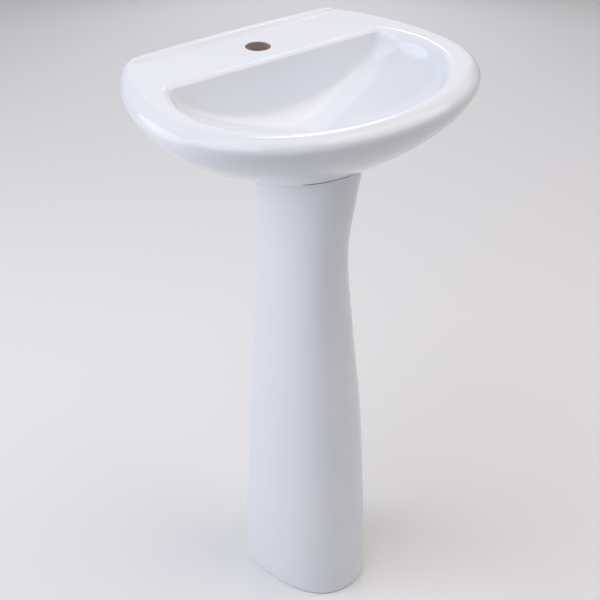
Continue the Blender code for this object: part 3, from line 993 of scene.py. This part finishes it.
    def bowl_rings(self, angles: Sequence[float]) -> list[Ring]:
        """Rings of the bowl from its edge at the deck to its floor.

        Args:
            angles: Angles round the outline.

        Returns:
            The rings, highest first.
        """
        edge = [self.bowl_edge * (1 - math.cos(math.radians(7.5 * i))) for i in range(13)]
        drops = edge + run(self.bowl_edge, self.bowl_floor_drop, 0.003)[1:]
        return [self.bowl_outline(drop).ring(DECK_Z - drop, angles) for drop in drops]

    def body_drops(self, fine: bool = True) -> list[float]:
        """Drops of the outer body's rings.

        Args:
            fine: Whether the rings are close enough together to be seen.

        Returns:
            The drops, from the deck down.
        """
        turn, fall = (6.0, 2.5) if fine else (18.0, 9.0)
        turns = [math.radians(turn * i) for i in range(round(90 / turn))]
        falls = [math.radians(fall * i) for i in range(round(90 / fall) + 1)]
        span = self.belly_drop - self.roll_drop
        return ([self.roll_drop * (1 - math.cos(a)) for a in turns]
                + [self.roll_drop + span * math.sin(a) for a in falls])

    def body_solid(self, name: str, offset: float) -> bpy.types.Object:
        """The outer body alone, for cutting other pieces to it.

        Args:
            name: Its name.
            offset: How far it is grown on every side.

        Returns:
            The solid.
        """
        angles = self.angles(self.hidden_points * 2)
        rings = [self.body_outline(drop, offset).ring(DECK_Z - drop, angles) for drop in self.body_drops()]
        rings.append([point - Vector((0.0, 0.0, offset)) for point in rings[-1]])
        return plain_object(name, skin(rings))

    def blank(self) -> bpy.types.Object:
        """The whole outer surface and the bowl as one closed solid.

        Returns:
            The solid, before anything is cut.
        """
        angles = self.angles(self.points)
        outside = [self.body_outline(drop).ring(DECK_Z - drop, angles) for drop in self.body_drops()[:0:-1]]
        return plain_object("basin", skin(outside + self.deck_rings(angles) + self.bowl_rings(angles)))

    @staticmethod
    def upright(name: str, profile: Sequence[Point], reach: float, clay_below: Optional[float] = None,
                steps: int = 64) -> bpy.types.Object:
        """A turned cutter on a vertical axis in the plane X = 0.

        Args:
            name: Its name.
            profile: (radius, drop) points, closed on the axis.
            reach: Place of the axis.
            clay_below: Drop below which the faces that it cuts are bare clay.
            steps: Points round the axis.

        Returns:
            The cutter.
        """
        bm = turned([(radius, -drop) for radius, drop in profile], at(0.0, reach, DECK_Z), steps)
        if clay_below is not None:
            for face in bm.faces:
                if DECK_Z - face.calc_center_median().z > clay_below:
                    face.material_index = 1
        return plain_object(name, bm)

    @staticmethod
    def tube_cutter(name: str, route: Sequence[Point], radius: float) -> bpy.types.Object:
        """A round bar along a smooth route.

        Args:
            name: Its name.
            route: (reach, drop) points that the route passes through.
            radius: The bar's radius.

        Returns:
            The cutter.
        """
        padded = [route[0], *route, route[-1]]
        steps = 8
        path = []
        for a, b, c, d in zip(padded, padded[1:], padded[2:], padded[3:]):
            for step in range(steps):
                t = step / steps
                path.append(tuple(0.5 * (2 * q + (r - p) * t + (2 * p - 5 * q + 4 * r - s) * t * t
                                         + (3 * q - p - 3 * r + s) * t ** 3)
                                  for p, q, r, s in zip(a, b, c, d)))
        path.append(route[-1])
        points = [at(0.0, reach, DECK_Z - drop) for reach, drop in path]
        return plain_object(name, skin(bar_rings(points, radius, 24)))

    def hollow(self) -> bpy.types.Object:
        """The open space inside the casting, under the deck and round the bowl's shell.

        Returns:
            A solid that fills the space.
        """
        angles = self.angles(self.hidden_points)
        middle = [drop for drop in self.body_drops(fine=False) if 0.020 < drop < self.cavity_drop - 0.004]
        drops = [self.deck_thickness, *middle, self.cavity_drop]
        space = [self.body_outline(drop, -self.china).ring(DECK_Z - drop, angles) for drop in drops]
        hollow = plain_object("hollow", skin(space))
        drops = [-self.bowl_shell - 0.004, *run(self.bowl_edge, self.bowl_floor_drop, 0.010)]
        wall = [self.bowl_outline(drop, self.bowl_shell).ring(DECK_Z - drop - self.bowl_shell, angles)
                for drop in drops]
        shell = plain_object("bowl_shell", skin(wall))
        boss_profile = rod(self.boss_radius, self.seat_drop - 2 * PAST, self.boss_drop)
        boss = self.upright("boss", boss_profile, self.drain_reach)
        rib = self.tube_cutter("overflow_rib", self.overflow_route[1:], self.overflow_rib)
        pad_profile = rod(self.clamp_pad_radius, 0.0, self.deck_thickness + self.clamp_pad_height)
        pad = self.upright("clamp_pad", pad_profile, self.tap_reach)
        cut(hollow, [shell, boss, rib, pad])
        return hollow

    def holes(self) -> list[bpy.types.Object]:
        """The cutters for the holes and openings.

        Returns:
            The cutters.
        """
        half = self.service_half_width
        low = (-half, -PAST, DECK_Z - self.belly_drop - PAST)
        service = block(low, (half, self.service_reach, DECK_Z - self.cavity_drop + 0.002))
        apron = block(low, (half, self.china + 0.004, DECK_Z - self.apron_drop))
        flared = self.seat_radius + self.seat_flare
        seat = raised(((0.0, -THROUGH), (flared, -THROUGH), (flared, -0.0045), (self.seat_radius, -0.0036),
                       (self.seat_radius, 0.0), (0.0, 0.0)), self.seat_drop)
        drain = rod(self.drain_hole_radius, self.seat_drop - PAST, self.boss_drop + PAST)
        edge = self.tap_hole_edge
        rounded = [(self.tap_hole_radius + edge * quarter_round(edge * i / 4, edge), edge * i / 4)
                   for i in range(5)]
        tap = ((0.0, -PAST), (rounded[0][0], -PAST), *rounded,
               (self.tap_hole_radius, THROUGH), (0.0, THROUGH))
        cutters = [
            plain_object("service", service),
            plain_object("apron", apron),
            self.upright("seat", seat, self.drain_reach),
            self.upright("drain", drain, self.drain_reach, self.seat_drop),
            self.upright("tap", tap, self.tap_reach, edge * 1.01, steps=96),
            self.tube_cutter("overflow", self.overflow_route, self.overflow_bore),
        ]
        for side in Side:
            bm = turned(rod(self.bolt_hole_radius, -PAST, THROUGH), Vector(), 32)
            for face in bm.faces:
                face.material_index = 1
            place = facing_out(side.value * self.bolt_x, 0.0, DECK_Z - self.bolt_drop)
            cutters.append(plain_object(f"bolt_{side.name.lower()}", laid(bm, place)))
        return cutters

    def build(self) -> bpy.types.Object:
        """Cut the basin out of its blank and dress it.

        Returns:
            The basin.
        """
        basin = self.blank()
        basin.data.materials.append(GLAZE.material())
        basin.data.materials.append(CLAY.material())
        hollow = self.hollow()
        for face in hollow.data.polygons:
            face.material_index = 1
        cut(basin, [hollow, *self.holes()])
        for face in basin.data.polygons:
            if face.normal.y > SQUARE and face.center.y > WALL_Y - NEAR:
                face.material_index = 1
        return dress(basin, (GLAZE, CLAY), Body.SINK, ("basin",), crease=38.0)


# ---------------------------------------------------------------- pedestal


@dataclass
class Pedestal:
    """The pedestal: a hollow waisted column, open at the back, with a web for the floor screw."""

    stations: tuple[tuple[float, float, float], ...] = (
        (0.000, 0.0866, 0.282), (0.110, 0.0858, 0.281), (0.220, 0.0812, 0.276), (0.340, 0.0755, 0.267),
        (0.470, 0.0645, 0.252), (0.600, 0.0545, 0.243), (0.690, 0.0585, 0.257), (0.770, 0.0630, 0.275))
    back: float = 0.126
    power: float = 2.3
    wall: float = 0.010
    lip: float = 0.016
    foot: float = 0.004
    corner: float = 0.004
    pad_space: float = 0.0016
    top_edge_z: float = 0.70
    web_back: float = 0.1262
    web_reach: float = 0.152
    web_thickness: float = WEB_THICKNESS
    screw_reach: float = FLOOR_SCREW_REACH
    screw_hole_radius: float = 0.005
    levels: int = 110
    side_points: int = 120

    def size(self, z: float) -> Point:
        """Half width and nose reach at a height, on a smooth curve through the stations.

        Args:
            z: The height.

        Returns:
            Half width and the reach of the nose.
        """
        heights = [station[0] for station in self.stations]
        last = len(heights) - 1
        i = max(k for k in range(last) if heights[k] <= z)
        span = heights[i + 1] - heights[i]
        t = (z - heights[i]) / span

        def slope(k: int, column: int) -> float:
            """Rise of a column through a station."""
            low, high = max(k - 1, 0), min(k + 1, last)
            return (self.stations[high][column] - self.stations[low][column]) / (heights[high] - heights[low])

        def value(column: int) -> float:
            """A column's value at the height.

            Args:
                column: The column of the stations.

            Returns:
                The value.
            """
            start, end = self.stations[i][column], self.stations[i + 1][column]
            leaving, arriving = span * slope(i, column), span * slope(i + 1, column)
            return ((2 * t ** 3 - 3 * t ** 2 + 1) * start + (t ** 3 - 2 * t ** 2 + t) * leaving
                    + (3 * t ** 2 - 2 * t ** 3) * end + (t ** 3 - t ** 2) * arriving)

        return value(1), value(2)

    def face(self, half_width: float, back: float, nose: float, z: float) -> Ring:
        """One skin of the section, from its right back corner round the nose to the left.

        Args:
            half_width: Half its width.
            back: Reach of its back.
            nose: Reach of its nose.
            z: The height.

        Returns:
            The skin's points.
        """
        side = []
        for i in range(self.side_points + 1):
            angle = math.pi * i / self.side_points
            across, along = math.cos(angle), math.sin(angle)
            x = half_width * math.copysign(abs(across) ** (2 / self.power), across)
            side.append(at(x, back + (nose - back) * abs(along) ** (2 / self.power), z))
        return side

    def section(self, z: float, inset: float) -> Ring:
        """The C-shaped section with rounded back corners and two lips turned in.

        Args:
            z: The height.
            inset: How far its outside stands in.

        Returns:
            The section's points.
        """
        half_width, nose = self.size(z)
        lip_x, lip_back = half_width - self.lip, self.back + self.wall
        outside = half_width - inset
        turn = [(outside - self.corner * (1 - math.sin(a)), self.back + self.corner * (1 - math.cos(a)))
                for a in (math.radians(15 * k) for k in range(7))]
        skin_points = [point for point in self.face(outside, self.back, nose - inset, z)
                       if WALL_Y - point.y > self.back + self.corner * 1.05]
        outer = [at(x, reach, z) for x, reach in turn] + skin_points
        outer += [at(-x, reach, z) for x, reach in reversed(turn)]
        inner = self.face(half_width - self.wall, lip_back, nose - self.wall, z)
        left_lip = [at(-lip_x, self.back, z), at(-lip_x, lip_back, z)]
        right_lip = [at(lip_x, lip_back, z), at(lip_x, self.back, z)]
        return outer + left_lip + inner[::-1] + right_lip

    def build(self, basin: Basin) -> bpy.types.Object:
        """Loft the column, cut its top to the basin's underside and dress it.

        Args:
            basin: The basin that it stands under.

        Returns:
            The pedestal.
        """
        top = self.stations[-1][0]
        foot = [self.foot * (1 - math.cos(math.radians(15 * i))) for i in range(7)]
        heights = foot + run(self.foot, top, (top - self.foot) / self.levels)[1:]
        rings = [self.section(z, self.foot * quarter_round(z, self.foot)) for z in heights]
        pedestal = plain_object("pedestal", skin(rings))
        half_width = self.stations[0][1] - self.wall / 2
        web = plain_object("web", block((-half_width, self.web_back, 0.0),
                                        (half_width, self.web_reach, self.web_thickness)))
        cut(pedestal, [web], "UNION")
        hole = turned(rod(self.screw_hole_radius, -PAST, THROUGH), at(0.0, self.screw_reach, 0.0), 32)
        cut(pedestal, [basin.body_solid("clearance", self.pad_space), plain_object("screw_hole", hole)])
        pedestal.data.materials.append(GLAZE.material())
        pedestal.data.materials.append(CLAY.material())
        for face in pedestal.data.polygons:
            under = face.normal.z < -SQUARE and face.center.z < NEAR
            top_edge = face.normal.z > 0.3 and face.center.z > self.top_edge_z
            if under or top_edge:
                face.material_index = 1
        return dress(pedestal, (GLAZE, CLAY), Body.SINK, ("pedestal",), crease=38.0)


@dataclass
class SupportPads:
    """Rubber pads between the pedestal's top edge and the basin."""

    names: tuple[str, ...] = ("pedestal_pad_left", "pedestal_pad_right", "pedestal_pad_front")

    def build(self, nodes: dict[str, bpy.types.Object]) -> None:
        """Dress the pads, whose shapes are the frame's own."""
        for name in self.names:
            redress(nodes[name], GREY_RUBBER)


# ---------------------------------------------------------------- waste and plug


@dataclass
class DrainWaste:
    """The waste fitting in the bowl's floor, with its seals, lock nut and tailpiece."""

    reach: float = DRAIN_REACH
    seat_z: float = SEAT_Z
    boss_z: float = 0.7295
    bridge_z: float = BRIDGE_Z
    end_z: float = 0.655
    pipe_end_z: float = 0.545
    throat: float = 0.0215
    radius: float = 0.0170
    bore: float = 0.0145
    pipe_radius: float = PIPE_RADIUS
    pipe_wall: float = 0.0015
    collar_radius: float = 0.0200
    collar_lobes: int = 12
    thread_pitch: float = 0.0018
    thread_depth: float = 0.0007
    flange: tuple[Point, ...] = (
        (0.0205, 0.0044), (0.0240, 0.0044), (0.0270, 0.0042), (0.0288, 0.0036), (0.0298, 0.0028),
        (0.0300, 0.0015), (throat, 0.0015), (throat, -0.0055), (radius, -0.0090))
    cone: tuple[Point, ...] = (
        (0.0205, 0.0080), (0.0221, 0.0005), (0.0221, 0.0), (0.0290, 0.0), (0.0290, -0.0085),
        (radius + GAP, -0.0085), (radius + GAP, 0.0080))

    def axis(self, z: float = 0.0) -> Vector:
        """A point on the drain's axis."""
        return at(0.0, self.reach, z)

    def waste_body(self) -> bpy.types.Object:
        """Flange, threaded body and the bridge across its bore.

        Returns:
            The body, not yet dressed.
        """
        seat, end = self.seat_z, self.end_z
        threads = [(self.radius, z) for z in run(seat - 0.0180, end, self.thread_pitch / 6)]
        inside = [(self.bore, end), (self.bore, seat - 0.0100), (0.0192, seat - 0.0045)]
        groove = thread(self.thread_pitch, self.thread_depth, end + 0.001, seat - 0.019)

        def outside_only(radius: float, height: float, angle: float) -> float:
            """The groove on the outer wall alone."""
            return groove(radius, height, angle) if radius == self.radius else radius

        profile = raised(self.flange, seat) + threads + inside
        body = plain_object("drain_body", turned(profile, self.axis(), radius_at=outside_only))
        middle = self.axis(self.bridge_z)
        bar_x, bar_y, bar_z = 0.0150, 0.002, 0.003
        bar = block((-bar_x, self.reach - bar_y, self.bridge_z - bar_z),
                    (bar_x, self.reach + bar_y, self.bridge_z + bar_z))
        hub = turned(rod(0.0112, -0.004, 0.004), middle, 48)
        cut(body, [plain_object("bridge", bar), plain_object("hub", hub)], "UNION")
        bore = turned(rod(0.0088, -PAST, PAST), middle, 48)
        slots = block((-0.004, self.reach - THROUGH, seat - 0.0165),
                      (0.004, self.reach + THROUGH, seat - 0.0095))
        cut(body, [plain_object("bore", bore), plain_object("slots", slots)])
        return body

    def tailpiece(self) -> bpy.types.Object:
        """The pipe below the drain, with the lobed collar that screws it on.

        Returns:
            The dressed tailpiece.
        """
        end, grip, thread_bore = self.end_z, self.collar_radius, self.radius + GAP
        pipe, pipe_bore = self.pipe_radius, self.pipe_radius - self.pipe_wall
        profile = [(grip - 0.0006, end + 0.021), (grip, end + 0.0204), (grip, end - 0.001),
                   (pipe, end - 0.006), (pipe, self.pipe_end_z), (pipe_bore, self.pipe_end_z),
                   (pipe_bore, end - GAP), (thread_bore, end - GAP), (thread_bore, end + 0.021)]

        def lobed(radius: float, height: float, angle: float) -> float:
            """Shallow flats for gripping the collar."""
            flat = 0.5 + 0.5 * math.cos(self.collar_lobes * angle)
            return radius - 0.0007 * flat if radius == grip else radius

        return fitting("tailpiece", turned(profile, self.axis(), 96, lobed), CHROME)

    def build(self, nodes: dict[str, bpy.types.Object]) -> None:
        """Build the fitting's pieces from the top down.

        Args:
            nodes: The frame's objects by name.
        """
        dress(self.waste_body(), (CHROME,), Body.SINK, ("drain_body",))
        redress(nodes["flange_seal"], BLACK_RUBBER)
        top, bore = self.boss_z - GAP, self.radius + GAP
        fitting("cone_washer", turned(self.cone, self.axis(top)), BLACK_RUBBER, rounding=0.0006)
        ring = turned(collar(bore, 0.0270, -0.0108, -0.0088), self.axis(top))
        fitting("slip_ring", ring, PLASTIC, rounding=0.0004)
        nut = hex_nut(self.axis(top - 0.0161), corner=0.0285, bore=bore, height=0.0100, chamfer=0.0012)
        fitting("drain_lock_nut", nut, BRASS)
        self.tailpiece()


@dataclass
class ClickPlug:
    """The push plug: cap, seal and stem, and the cartridge and spring that carry them."""

    reach: float = DRAIN_REACH
    seat_z: float = SEAT_Z
    stem_foot_z: float = 0.712
    stem_radius: float = 0.0040
    stem_foot_radius: float = 0.0062
    stem_foot_height: float = 0.003
    cup_top_z: float = 0.737
    cup_foot_z: float = 0.690
    cup_floor: float = 0.0015
    cup_roof: float = 0.0018
    cup_radius: float = 0.0085
    cup_bore: float = 0.0068
    mouth_radius: float = 0.0046
    collar_radius: float = 0.0103
    collar_low: float = BRIDGE_Z + 0.0043
    collar_high: float = BRIDGE_Z + 0.0070
    cap_radius: float = 0.0184
    cap_height: float = 0.0070
    cap_edge: float = 0.0026
    coil_turns: int = 5
    coil_radius: float = 0.0050
    wire: float = 0.0006

    def axis(self, z: float = 0.0) -> Vector:
        """A point on the plug's axis."""
        return at(0.0, self.reach, z)

    def cap(self) -> bmesh.types.BMesh:
        """The domed cap.

        Returns:
            The mesh being built.
        """
        steps, radius, edge = 12, self.cap_radius, self.cap_edge
        dome = [(radius * 0.97 * i / steps, edge + (self.cap_height - edge) * (1 - (i / steps) ** 2.2))
                for i in range(1, steps + 1)]
        skirt = [(radius, 0.0018), (radius, 0.0010), (radius - 0.0005, 0.0006), (0.0, 0.0006)]
        return turned([(0.0, self.cap_height), *dome, *skirt], self.axis(self.seat_z), 96)

    def cartridge(self) -> bmesh.types.BMesh:
        """The cup that the stem slides in, with the collar that rests on the bridge.

        Returns:
            The mesh being built.
        """
        low, top, floor = self.cup_foot_z, self.cup_top_z, self.cup_foot_z + self.cup_floor
        roof = top - self.cup_roof
        profile = ((0.0, floor), (self.cup_bore, floor), (self.cup_bore, roof), (self.mouth_radius, roof),
                   (self.mouth_radius, top), (self.cup_radius, top), (self.cup_radius, self.collar_high),
                   (self.collar_radius, self.collar_high), (self.collar_radius, self.collar_low),
                   (self.cup_radius, self.collar_low), (self.cup_radius, low), (0.0, low))
        return turned(profile, self.axis(), 48)

    def spring(self) -> bmesh.types.BMesh:
        """The coil spring inside the cartridge.

        Returns:
            The mesh being built.
        """
        low = self.cup_foot_z + self.cup_floor + GAP + self.wire
        high = self.stem_foot_z - GAP - self.wire
        per_turn, sides = 28, 10
        steps = self.coil_turns * per_turn
        turns = [2 * math.pi * k / sides for k in range(sides)]
        up = Vector((0.0, 0.0, self.wire))
        rings = []
        for i in range(steps + 1):
            angle = 2 * math.pi * i / per_turn
            out = Vector((math.cos(angle), math.sin(angle), 0.0))
            centre = self.axis(low + (high - low) * i / steps) + out * self.coil_radius
            rings.append([centre + out * (self.wire * math.cos(a)) + up * math.sin(a) for a in turns])
        return skin(rings)

    def build(self) -> None:
        """Build the plug's pieces and the parts that stay in the drain."""
        fitting("plug_cap", self.cap(), CHROME, Body.PLUG)
        seal = turned(collar(0.0100, 0.0182, -0.0014, GAP), self.axis(self.seat_z))
        fitting("plug_seal", seal, BLACK_RUBBER, Body.PLUG, rounding=0.0003)
        top, foot = self.seat_z + GAP, self.stem_foot_z
        shoulder = foot + self.stem_foot_height
        stem = ((0.0, top), (self.stem_radius, top), (self.stem_radius, shoulder),
                (self.stem_foot_radius, shoulder), (self.stem_foot_radius, foot), (0.0, foot))
        fitting("plug_stem", turned(stem, self.axis(), 40), BRASS, Body.PLUG)
        fitting("plug_cartridge", self.cartridge(), BRASS)
        fitting("plug_spring", self.spring(), ZINC, crease=80.0)


# ---------------------------------------------------------------- trap


@dataclass
class Trap:
    """The chromed U-bend behind the pedestal with its two slip joints; the outlet is left open."""

    drain_reach: float = DRAIN_REACH
    radius: float = 0.0190
    wall: float = 0.0018
    mouth_z: float = 0.566
    turn_z: float = 0.520
    turn_radius: float = 0.034
    pipe_radius: float = PIPE_RADIUS
    nut_radius: float = 0.0240
    nut_top: float = 0.0080
    nut_shoulder: float = 0.0050
    nut_foot: float = -0.0120
    nut_lobes: int = 8

    def slip_nut(self, name: str, reach: float) -> bpy.types.Object:
        """A slip nut with rounded grips.

        Args:
            name: Its name.
            reach: Place of its axis.

        Returns:
            The nut.
        """
        bore, mouth_bore = self.pipe_radius + GAP, self.radius + GAP
        grip = [(self.nut_radius, z) for z in run(0.0056, -0.0100, 0.0026)]
        profile = [(0.0208, self.nut_top), (0.0222, 0.0076), *grip, (0.0228, -0.0116),
                   (0.0222, self.nut_foot), (mouth_bore, self.nut_foot), (mouth_bore, self.nut_shoulder),
                   (bore, self.nut_shoulder), (bore, self.nut_top)]

        def gripped(radius: float, height: float, angle: float) -> float:
            """Scallops between the grips."""
            scallop = (0.5 + 0.5 * math.cos(self.nut_lobes * angle)) ** 1.5
            return radius - 0.0013 * scallop if radius == self.nut_radius else radius

        return fitting(name, turned(profile, at(0.0, reach, self.mouth_z), 128, gripped), CHROME)

    def build(self, nodes: dict[str, bpy.types.Object]) -> None:
        """Build the trap's pieces along the flow.

        Args:
            nodes: The frame's objects by name.
        """
        outlet = self.drain_reach - 2 * self.turn_radius
        for end, reach in (("inlet", self.drain_reach), ("outlet", outlet)):
            self.slip_nut(f"trap_{end}_nut", reach)
            redress(nodes[f"trap_{end}_washer"], GREY_RUBBER)
        turn = arc((self.drain_reach - self.turn_radius, self.turn_z), self.turn_radius, 0, -180, 40)
        bend = [(self.drain_reach, self.mouth_z), *turn, (outlet, self.mouth_z)]
        fitting("trap_bend", swept(bend, self.radius, self.wall), CHROME)


# ---------------------------------------------------------------- fixings


def hex_nut(centre: Vector, corner: float, bore: float, height: float, chamfer: float) -> bmesh.types.BMesh:
    """A six-sided nut with its corners turned off, on a vertical axis.

    Args:
        centre: Its middle.
        corner: Radius across the corners.
        bore: Radius of the hole.
        height: Its height.
        chamfer: Height of the turned corners.

    Returns:
        The mesh being built.
    """
    flat = corner * math.cos(math.radians(30))

    def six_sided(radius: float, level: float, angle: float) -> float:
        """The smaller of the turned radius and the six flats.

        Args:
            radius: The turned radius.
            level: Height of the point; not used.
            angle: Its angle round the axis.

        Returns:
            The nut's radius there.
        """
        if radius <= bore:
            return radius
        within = (angle + math.pi / 6) % (math.pi / 3) - math.pi / 6
        return min(radius, flat / math.cos(within - math.copysign(math.pi / 6, within)))

    half = height / 2
    profile = ((bore, half), (flat * 0.96, half), (corner, half - chamfer), (corner, chamfer - half),
               (flat * 0.96, -half), (bore, -half))
    return turned(profile, centre, 96, six_sided)


@dataclass
class WallFixing:
    """One hanger stud through the basin's back, with its washer and nut."""

    side: Side
    x: float = STUD_X
    z: float = DECK_Z - STUD_DROP
    china: float = CHINA
    stud_radius: float = 0.004
    stud_end: float = 0.032
    pitch: float = 0.00125
    thread_depth: float = 0.0006
    washer_radius: float = 0.0120
    washer_top: float = 0.0023
    nut_middle: float = 0.00585
    nut_corner: float = 0.0075
    nut_height: float = 0.0065

    def place(self, reach: float) -> Matrix:
        """A matrix that lays a piece's own axis along the stud at a reach."""
        return facing_out(self.side.value * self.x, reach, self.z)

    def build(self) -> None:
        """Build the stud, washer and nut."""
        name = self.side.name.lower()
        radius, end = self.stud_radius, self.stud_end
        levels = run(GAP, end - 0.0006, self.pitch / 6)
        profile = [(0.0, GAP), *[(radius, z) for z in levels], (radius - 0.0008, end), (0.0, end)]
        groove = thread(self.pitch, self.thread_depth, 0.0015, end - 0.0008)
        stud = laid(turned(profile, Vector(), 32, groove), self.place(0.0))
        fitting(f"wall_stud_{name}", stud, ZINC, crease=75.0)
        bore = radius + GAP
        washer = turned(collar(bore, self.washer_radius, GAP, self.washer_top), Vector(), 64)
        fitting(f"wall_washer_{name}", laid(washer, self.place(self.china)), ZINC, rounding=0.0003)
        nut = hex_nut(Vector(), self.nut_corner, bore, self.nut_height, chamfer=0.0009)
        fitting(f"wall_nut_{name}", laid(nut, self.place(self.china + self.nut_middle)), ZINC)


@dataclass
class FloorFixing:
    """The screw that holds the pedestal down, its washer and its snap cap."""

    reach: float = FLOOR_SCREW_REACH
    deck: float = WEB_THICKNESS
    head_radius: float = 0.0076
    head_low: float = 0.0021
    head_crown: float = 0.0034
    head_high: float = 0.0080
    shank_radius: float = 0.0036
    pitch: float = 0.0024
    thread_depth: float = 0.0007
    level_step: float = 0.0004
    washer_bore: float = 0.0040
    washer_radius: float = 0.0105
    washer_top: float = 0.0018
    cap_radius: float = 0.0132
    cap_wall: float = 0.0014
    cap_top: float = 0.0180
    cap_inner_top: float = 0.0163

    def screw(self) -> bpy.types.Object:
        """The screw, with a domed head and a slot.

        Returns:
            The screw, not yet dressed.
        """
        deck, shank, radius = self.deck, self.shank_radius, self.head_radius
        turns = [math.radians(a) for a in range(10, 91, 10)]
        crown, rise = deck + self.head_crown, self.head_high - self.head_crown
        head = [(radius * math.sin(a), crown + rise * math.cos(a)) for a in turns]
        levels = run(deck + 0.0018, 0.0020, self.level_step)
        profile = [(0.0, deck + self.head_high), *head, (radius, deck + self.head_low),
                   (shank, deck + self.head_low), *[(shank, z) for z in levels], (shank, GAP), (0.0, GAP)]
        groove = thread(self.pitch, self.thread_depth, 0.0010, deck + 0.0015)

        def shank_only(radius: float, height: float, angle: float) -> float:
            """The groove on the shank alone."""
            return groove(radius, height, angle) if radius == shank else radius

        screw = plain_object("floor_screw", turned(profile, at(0.0, self.reach, 0.0), 48, shank_only))
        slot = block((-0.0060, self.reach - 0.0006, deck + 0.0058),
                     (0.0060, self.reach + 0.0006, deck + 0.0100))
        cut(screw, [plain_object("screw_slot", slot)])
        return screw

    def cap(self) -> bmesh.types.BMesh:
        """The hollow snap cap, open below.

        Returns:
            The mesh being built.
        """
        base = self.deck + GAP
        height = self.cap_top - GAP
        turns = [math.radians(a) for a in range(8, 90, 6)]
        dome = [(self.cap_radius * math.sin(a) ** 0.8, base + height * math.cos(a) ** 0.8) for a in turns]
        lining = [(r - self.cap_wall, base + (z - base) * 0.905) for r, z in reversed(dome) if r > 0.0030]
        profile = [(0.0, self.deck + self.cap_top), *dome, (self.cap_radius, base),
                   (self.cap_radius - self.cap_wall, base), *lining, (0.0, self.deck + self.cap_inner_top)]
        return turned(profile, at(0.0, self.reach, 0.0), 64)

    def build(self) -> None:
        """Build the screw, washer and cap."""
        dress(self.screw(), (ZINC,), Body.SINK, ("floor_screw",))
        ring = collar(self.washer_bore, self.washer_radius, GAP, self.washer_top)
        fitting("floor_washer", turned(ring, at(0.0, self.reach, self.deck)), PLASTIC, rounding=0.0003)
        fitting("floor_screw_cap", self.cap(), PLASTIC)


# ---------------------------------------------------------------- studio


@dataclass
class SoftLight:
    """A large soft lamp that faces a point on the sink."""

    name: str
    place: tuple[float, float, float]
    watts: float
    colour: Colour = (1.0, 1.0, 1.0)
    size: float = 2.4
    target: tuple[float, float, float] = (0.0, 0.0, 0.55)

    def build(self) -> None:
        """Add the lamp to the scene."""
        data = bpy.data.lights.new(self.name, "AREA")
        data.shape = "DISK"
        data.size = self.size
        data.energy = self.watts
        data.color = self.colour
        lamp = bpy.data.objects.new(self.name, data)
        lamp.location = self.place
        lamp.rotation_euler = (Vector(self.target) - lamp.location).to_track_quat("-Z", "Y").to_euler()
        lamp.visible_camera = False
        bpy.context.scene.collection.objects.link(lamp)


@dataclass
class Studio:
    """Pale floor, soft lights and the camera."""

    floor_half: float = 9.0
    floor_colour: Colour = (0.88, 0.885, 0.89)
    sky: Colour = (1.0, 1.0, 1.0)
    sky_strength: float = 0.20
    camera_place: tuple[float, float, float] = (-0.9175, -1.1993, 1.4909)
    camera_tilt: float = 56.886
    camera_turn: float = -36.794
    lens: float = 74.345
    lights: tuple[SoftLight, ...] = (
        SoftLight("window_left", (-2.01, 1.51, 1.22), 31.0, (0.92, 0.94, 1.0)),
        SoftLight("fill_back", (1.51, 2.01, 1.22), 8.5, (0.90, 0.88, 1.0)),
        SoftLight("high_left", (-1.65, -0.23, 2.54), 27.0, (0.89, 0.88, 1.0)),
        SoftLight("high_right", (1.33, -1.01, 2.54), 25.5, (1.0, 0.88, 0.80)),
        SoftLight("side_right", (1.65, 0.23, 2.54), 3.5, (1.0, 0.95, 0.97)),
        SoftLight("top", (0.0, 0.0, 3.15), 12.5, (0.96, 1.0, 0.98)),
        SoftLight("window_back", (4.3, 5.2, 5.1), 26.0, (1.0, 1.0, 1.0), 1.4, (0.0, 0.0, 0.85)),
    )

    def floor(self) -> None:
        """Add the floor, just below the sink's foot."""
        bm = bmesh.new()
        bmesh.ops.create_grid(bm, x_segments=1, y_segments=1, size=self.floor_half)
        floor = plain_object("studio_floor", bm)
        if floor.data.polygons[0].normal.z < 0:
            floor.data.flip_normals()
        floor.location.z = -NEAR
        bench = NodeBench("studio_floor")
        tone = bench.spread(bench.noise(0.6, 2.0), 0.0, 1.0)
        dimmer = tuple(value * 0.985 for value in self.floor_colour)
        bench.drive(bench.blend(tone, self.floor_colour, dimmer), "Base Color")
        bench.set(Roughness=0.9)
        floor.data.materials.append(bench.material)

    def surroundings(self) -> None:
        """Add the even light from all round."""
        world = bpy.data.worlds.new("studio")
        world.use_nodes = True
        backdrop = world.node_tree.nodes["Background"]
        backdrop.inputs["Color"].default_value = (*self.sky, 1.0)
        backdrop.inputs["Strength"].default_value = self.sky_strength
        bpy.context.scene.world = world

    def camera(self) -> None:
        """Add the camera and make it the scene's."""
        scene = bpy.context.scene
        scene.view_settings.view_transform = "Standard"
        data = bpy.data.cameras.new("camera")
        data.lens = self.lens
        data.sensor_width = 36.0
        data.clip_start = 0.05
        data.clip_end = 60.0
        camera = bpy.data.objects.new("camera", data)
        camera.location = self.camera_place
        camera.rotation_euler = (math.radians(self.camera_tilt), 0.0, math.radians(self.camera_turn))
        scene.collection.objects.link(camera)
        scene.camera = camera

    def build(self) -> None:
        """Build the floor, surroundings, lights and camera."""
        self.floor()
        self.surroundings()
        for light in self.lights:
            light.build()
        self.camera()


def main() -> None:
    """Load the frame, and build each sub-assembly on it."""
    logging.basicConfig(level=logging.INFO, format="%(name)s: %(message)s")
    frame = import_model()
    nodes = frame["nodes"]
    Studio().build()
    basin = Basin()
    basin.build()
    Pedestal().build(basin)
    SupportPads().build(nodes)
    DrainWaste().build(nodes)
    ClickPlug().build()
    Trap().build(nodes)
    for side in Side:
        WallFixing(side).build()
    FloorFixing().build()


if __name__ == "__main__":
    main()
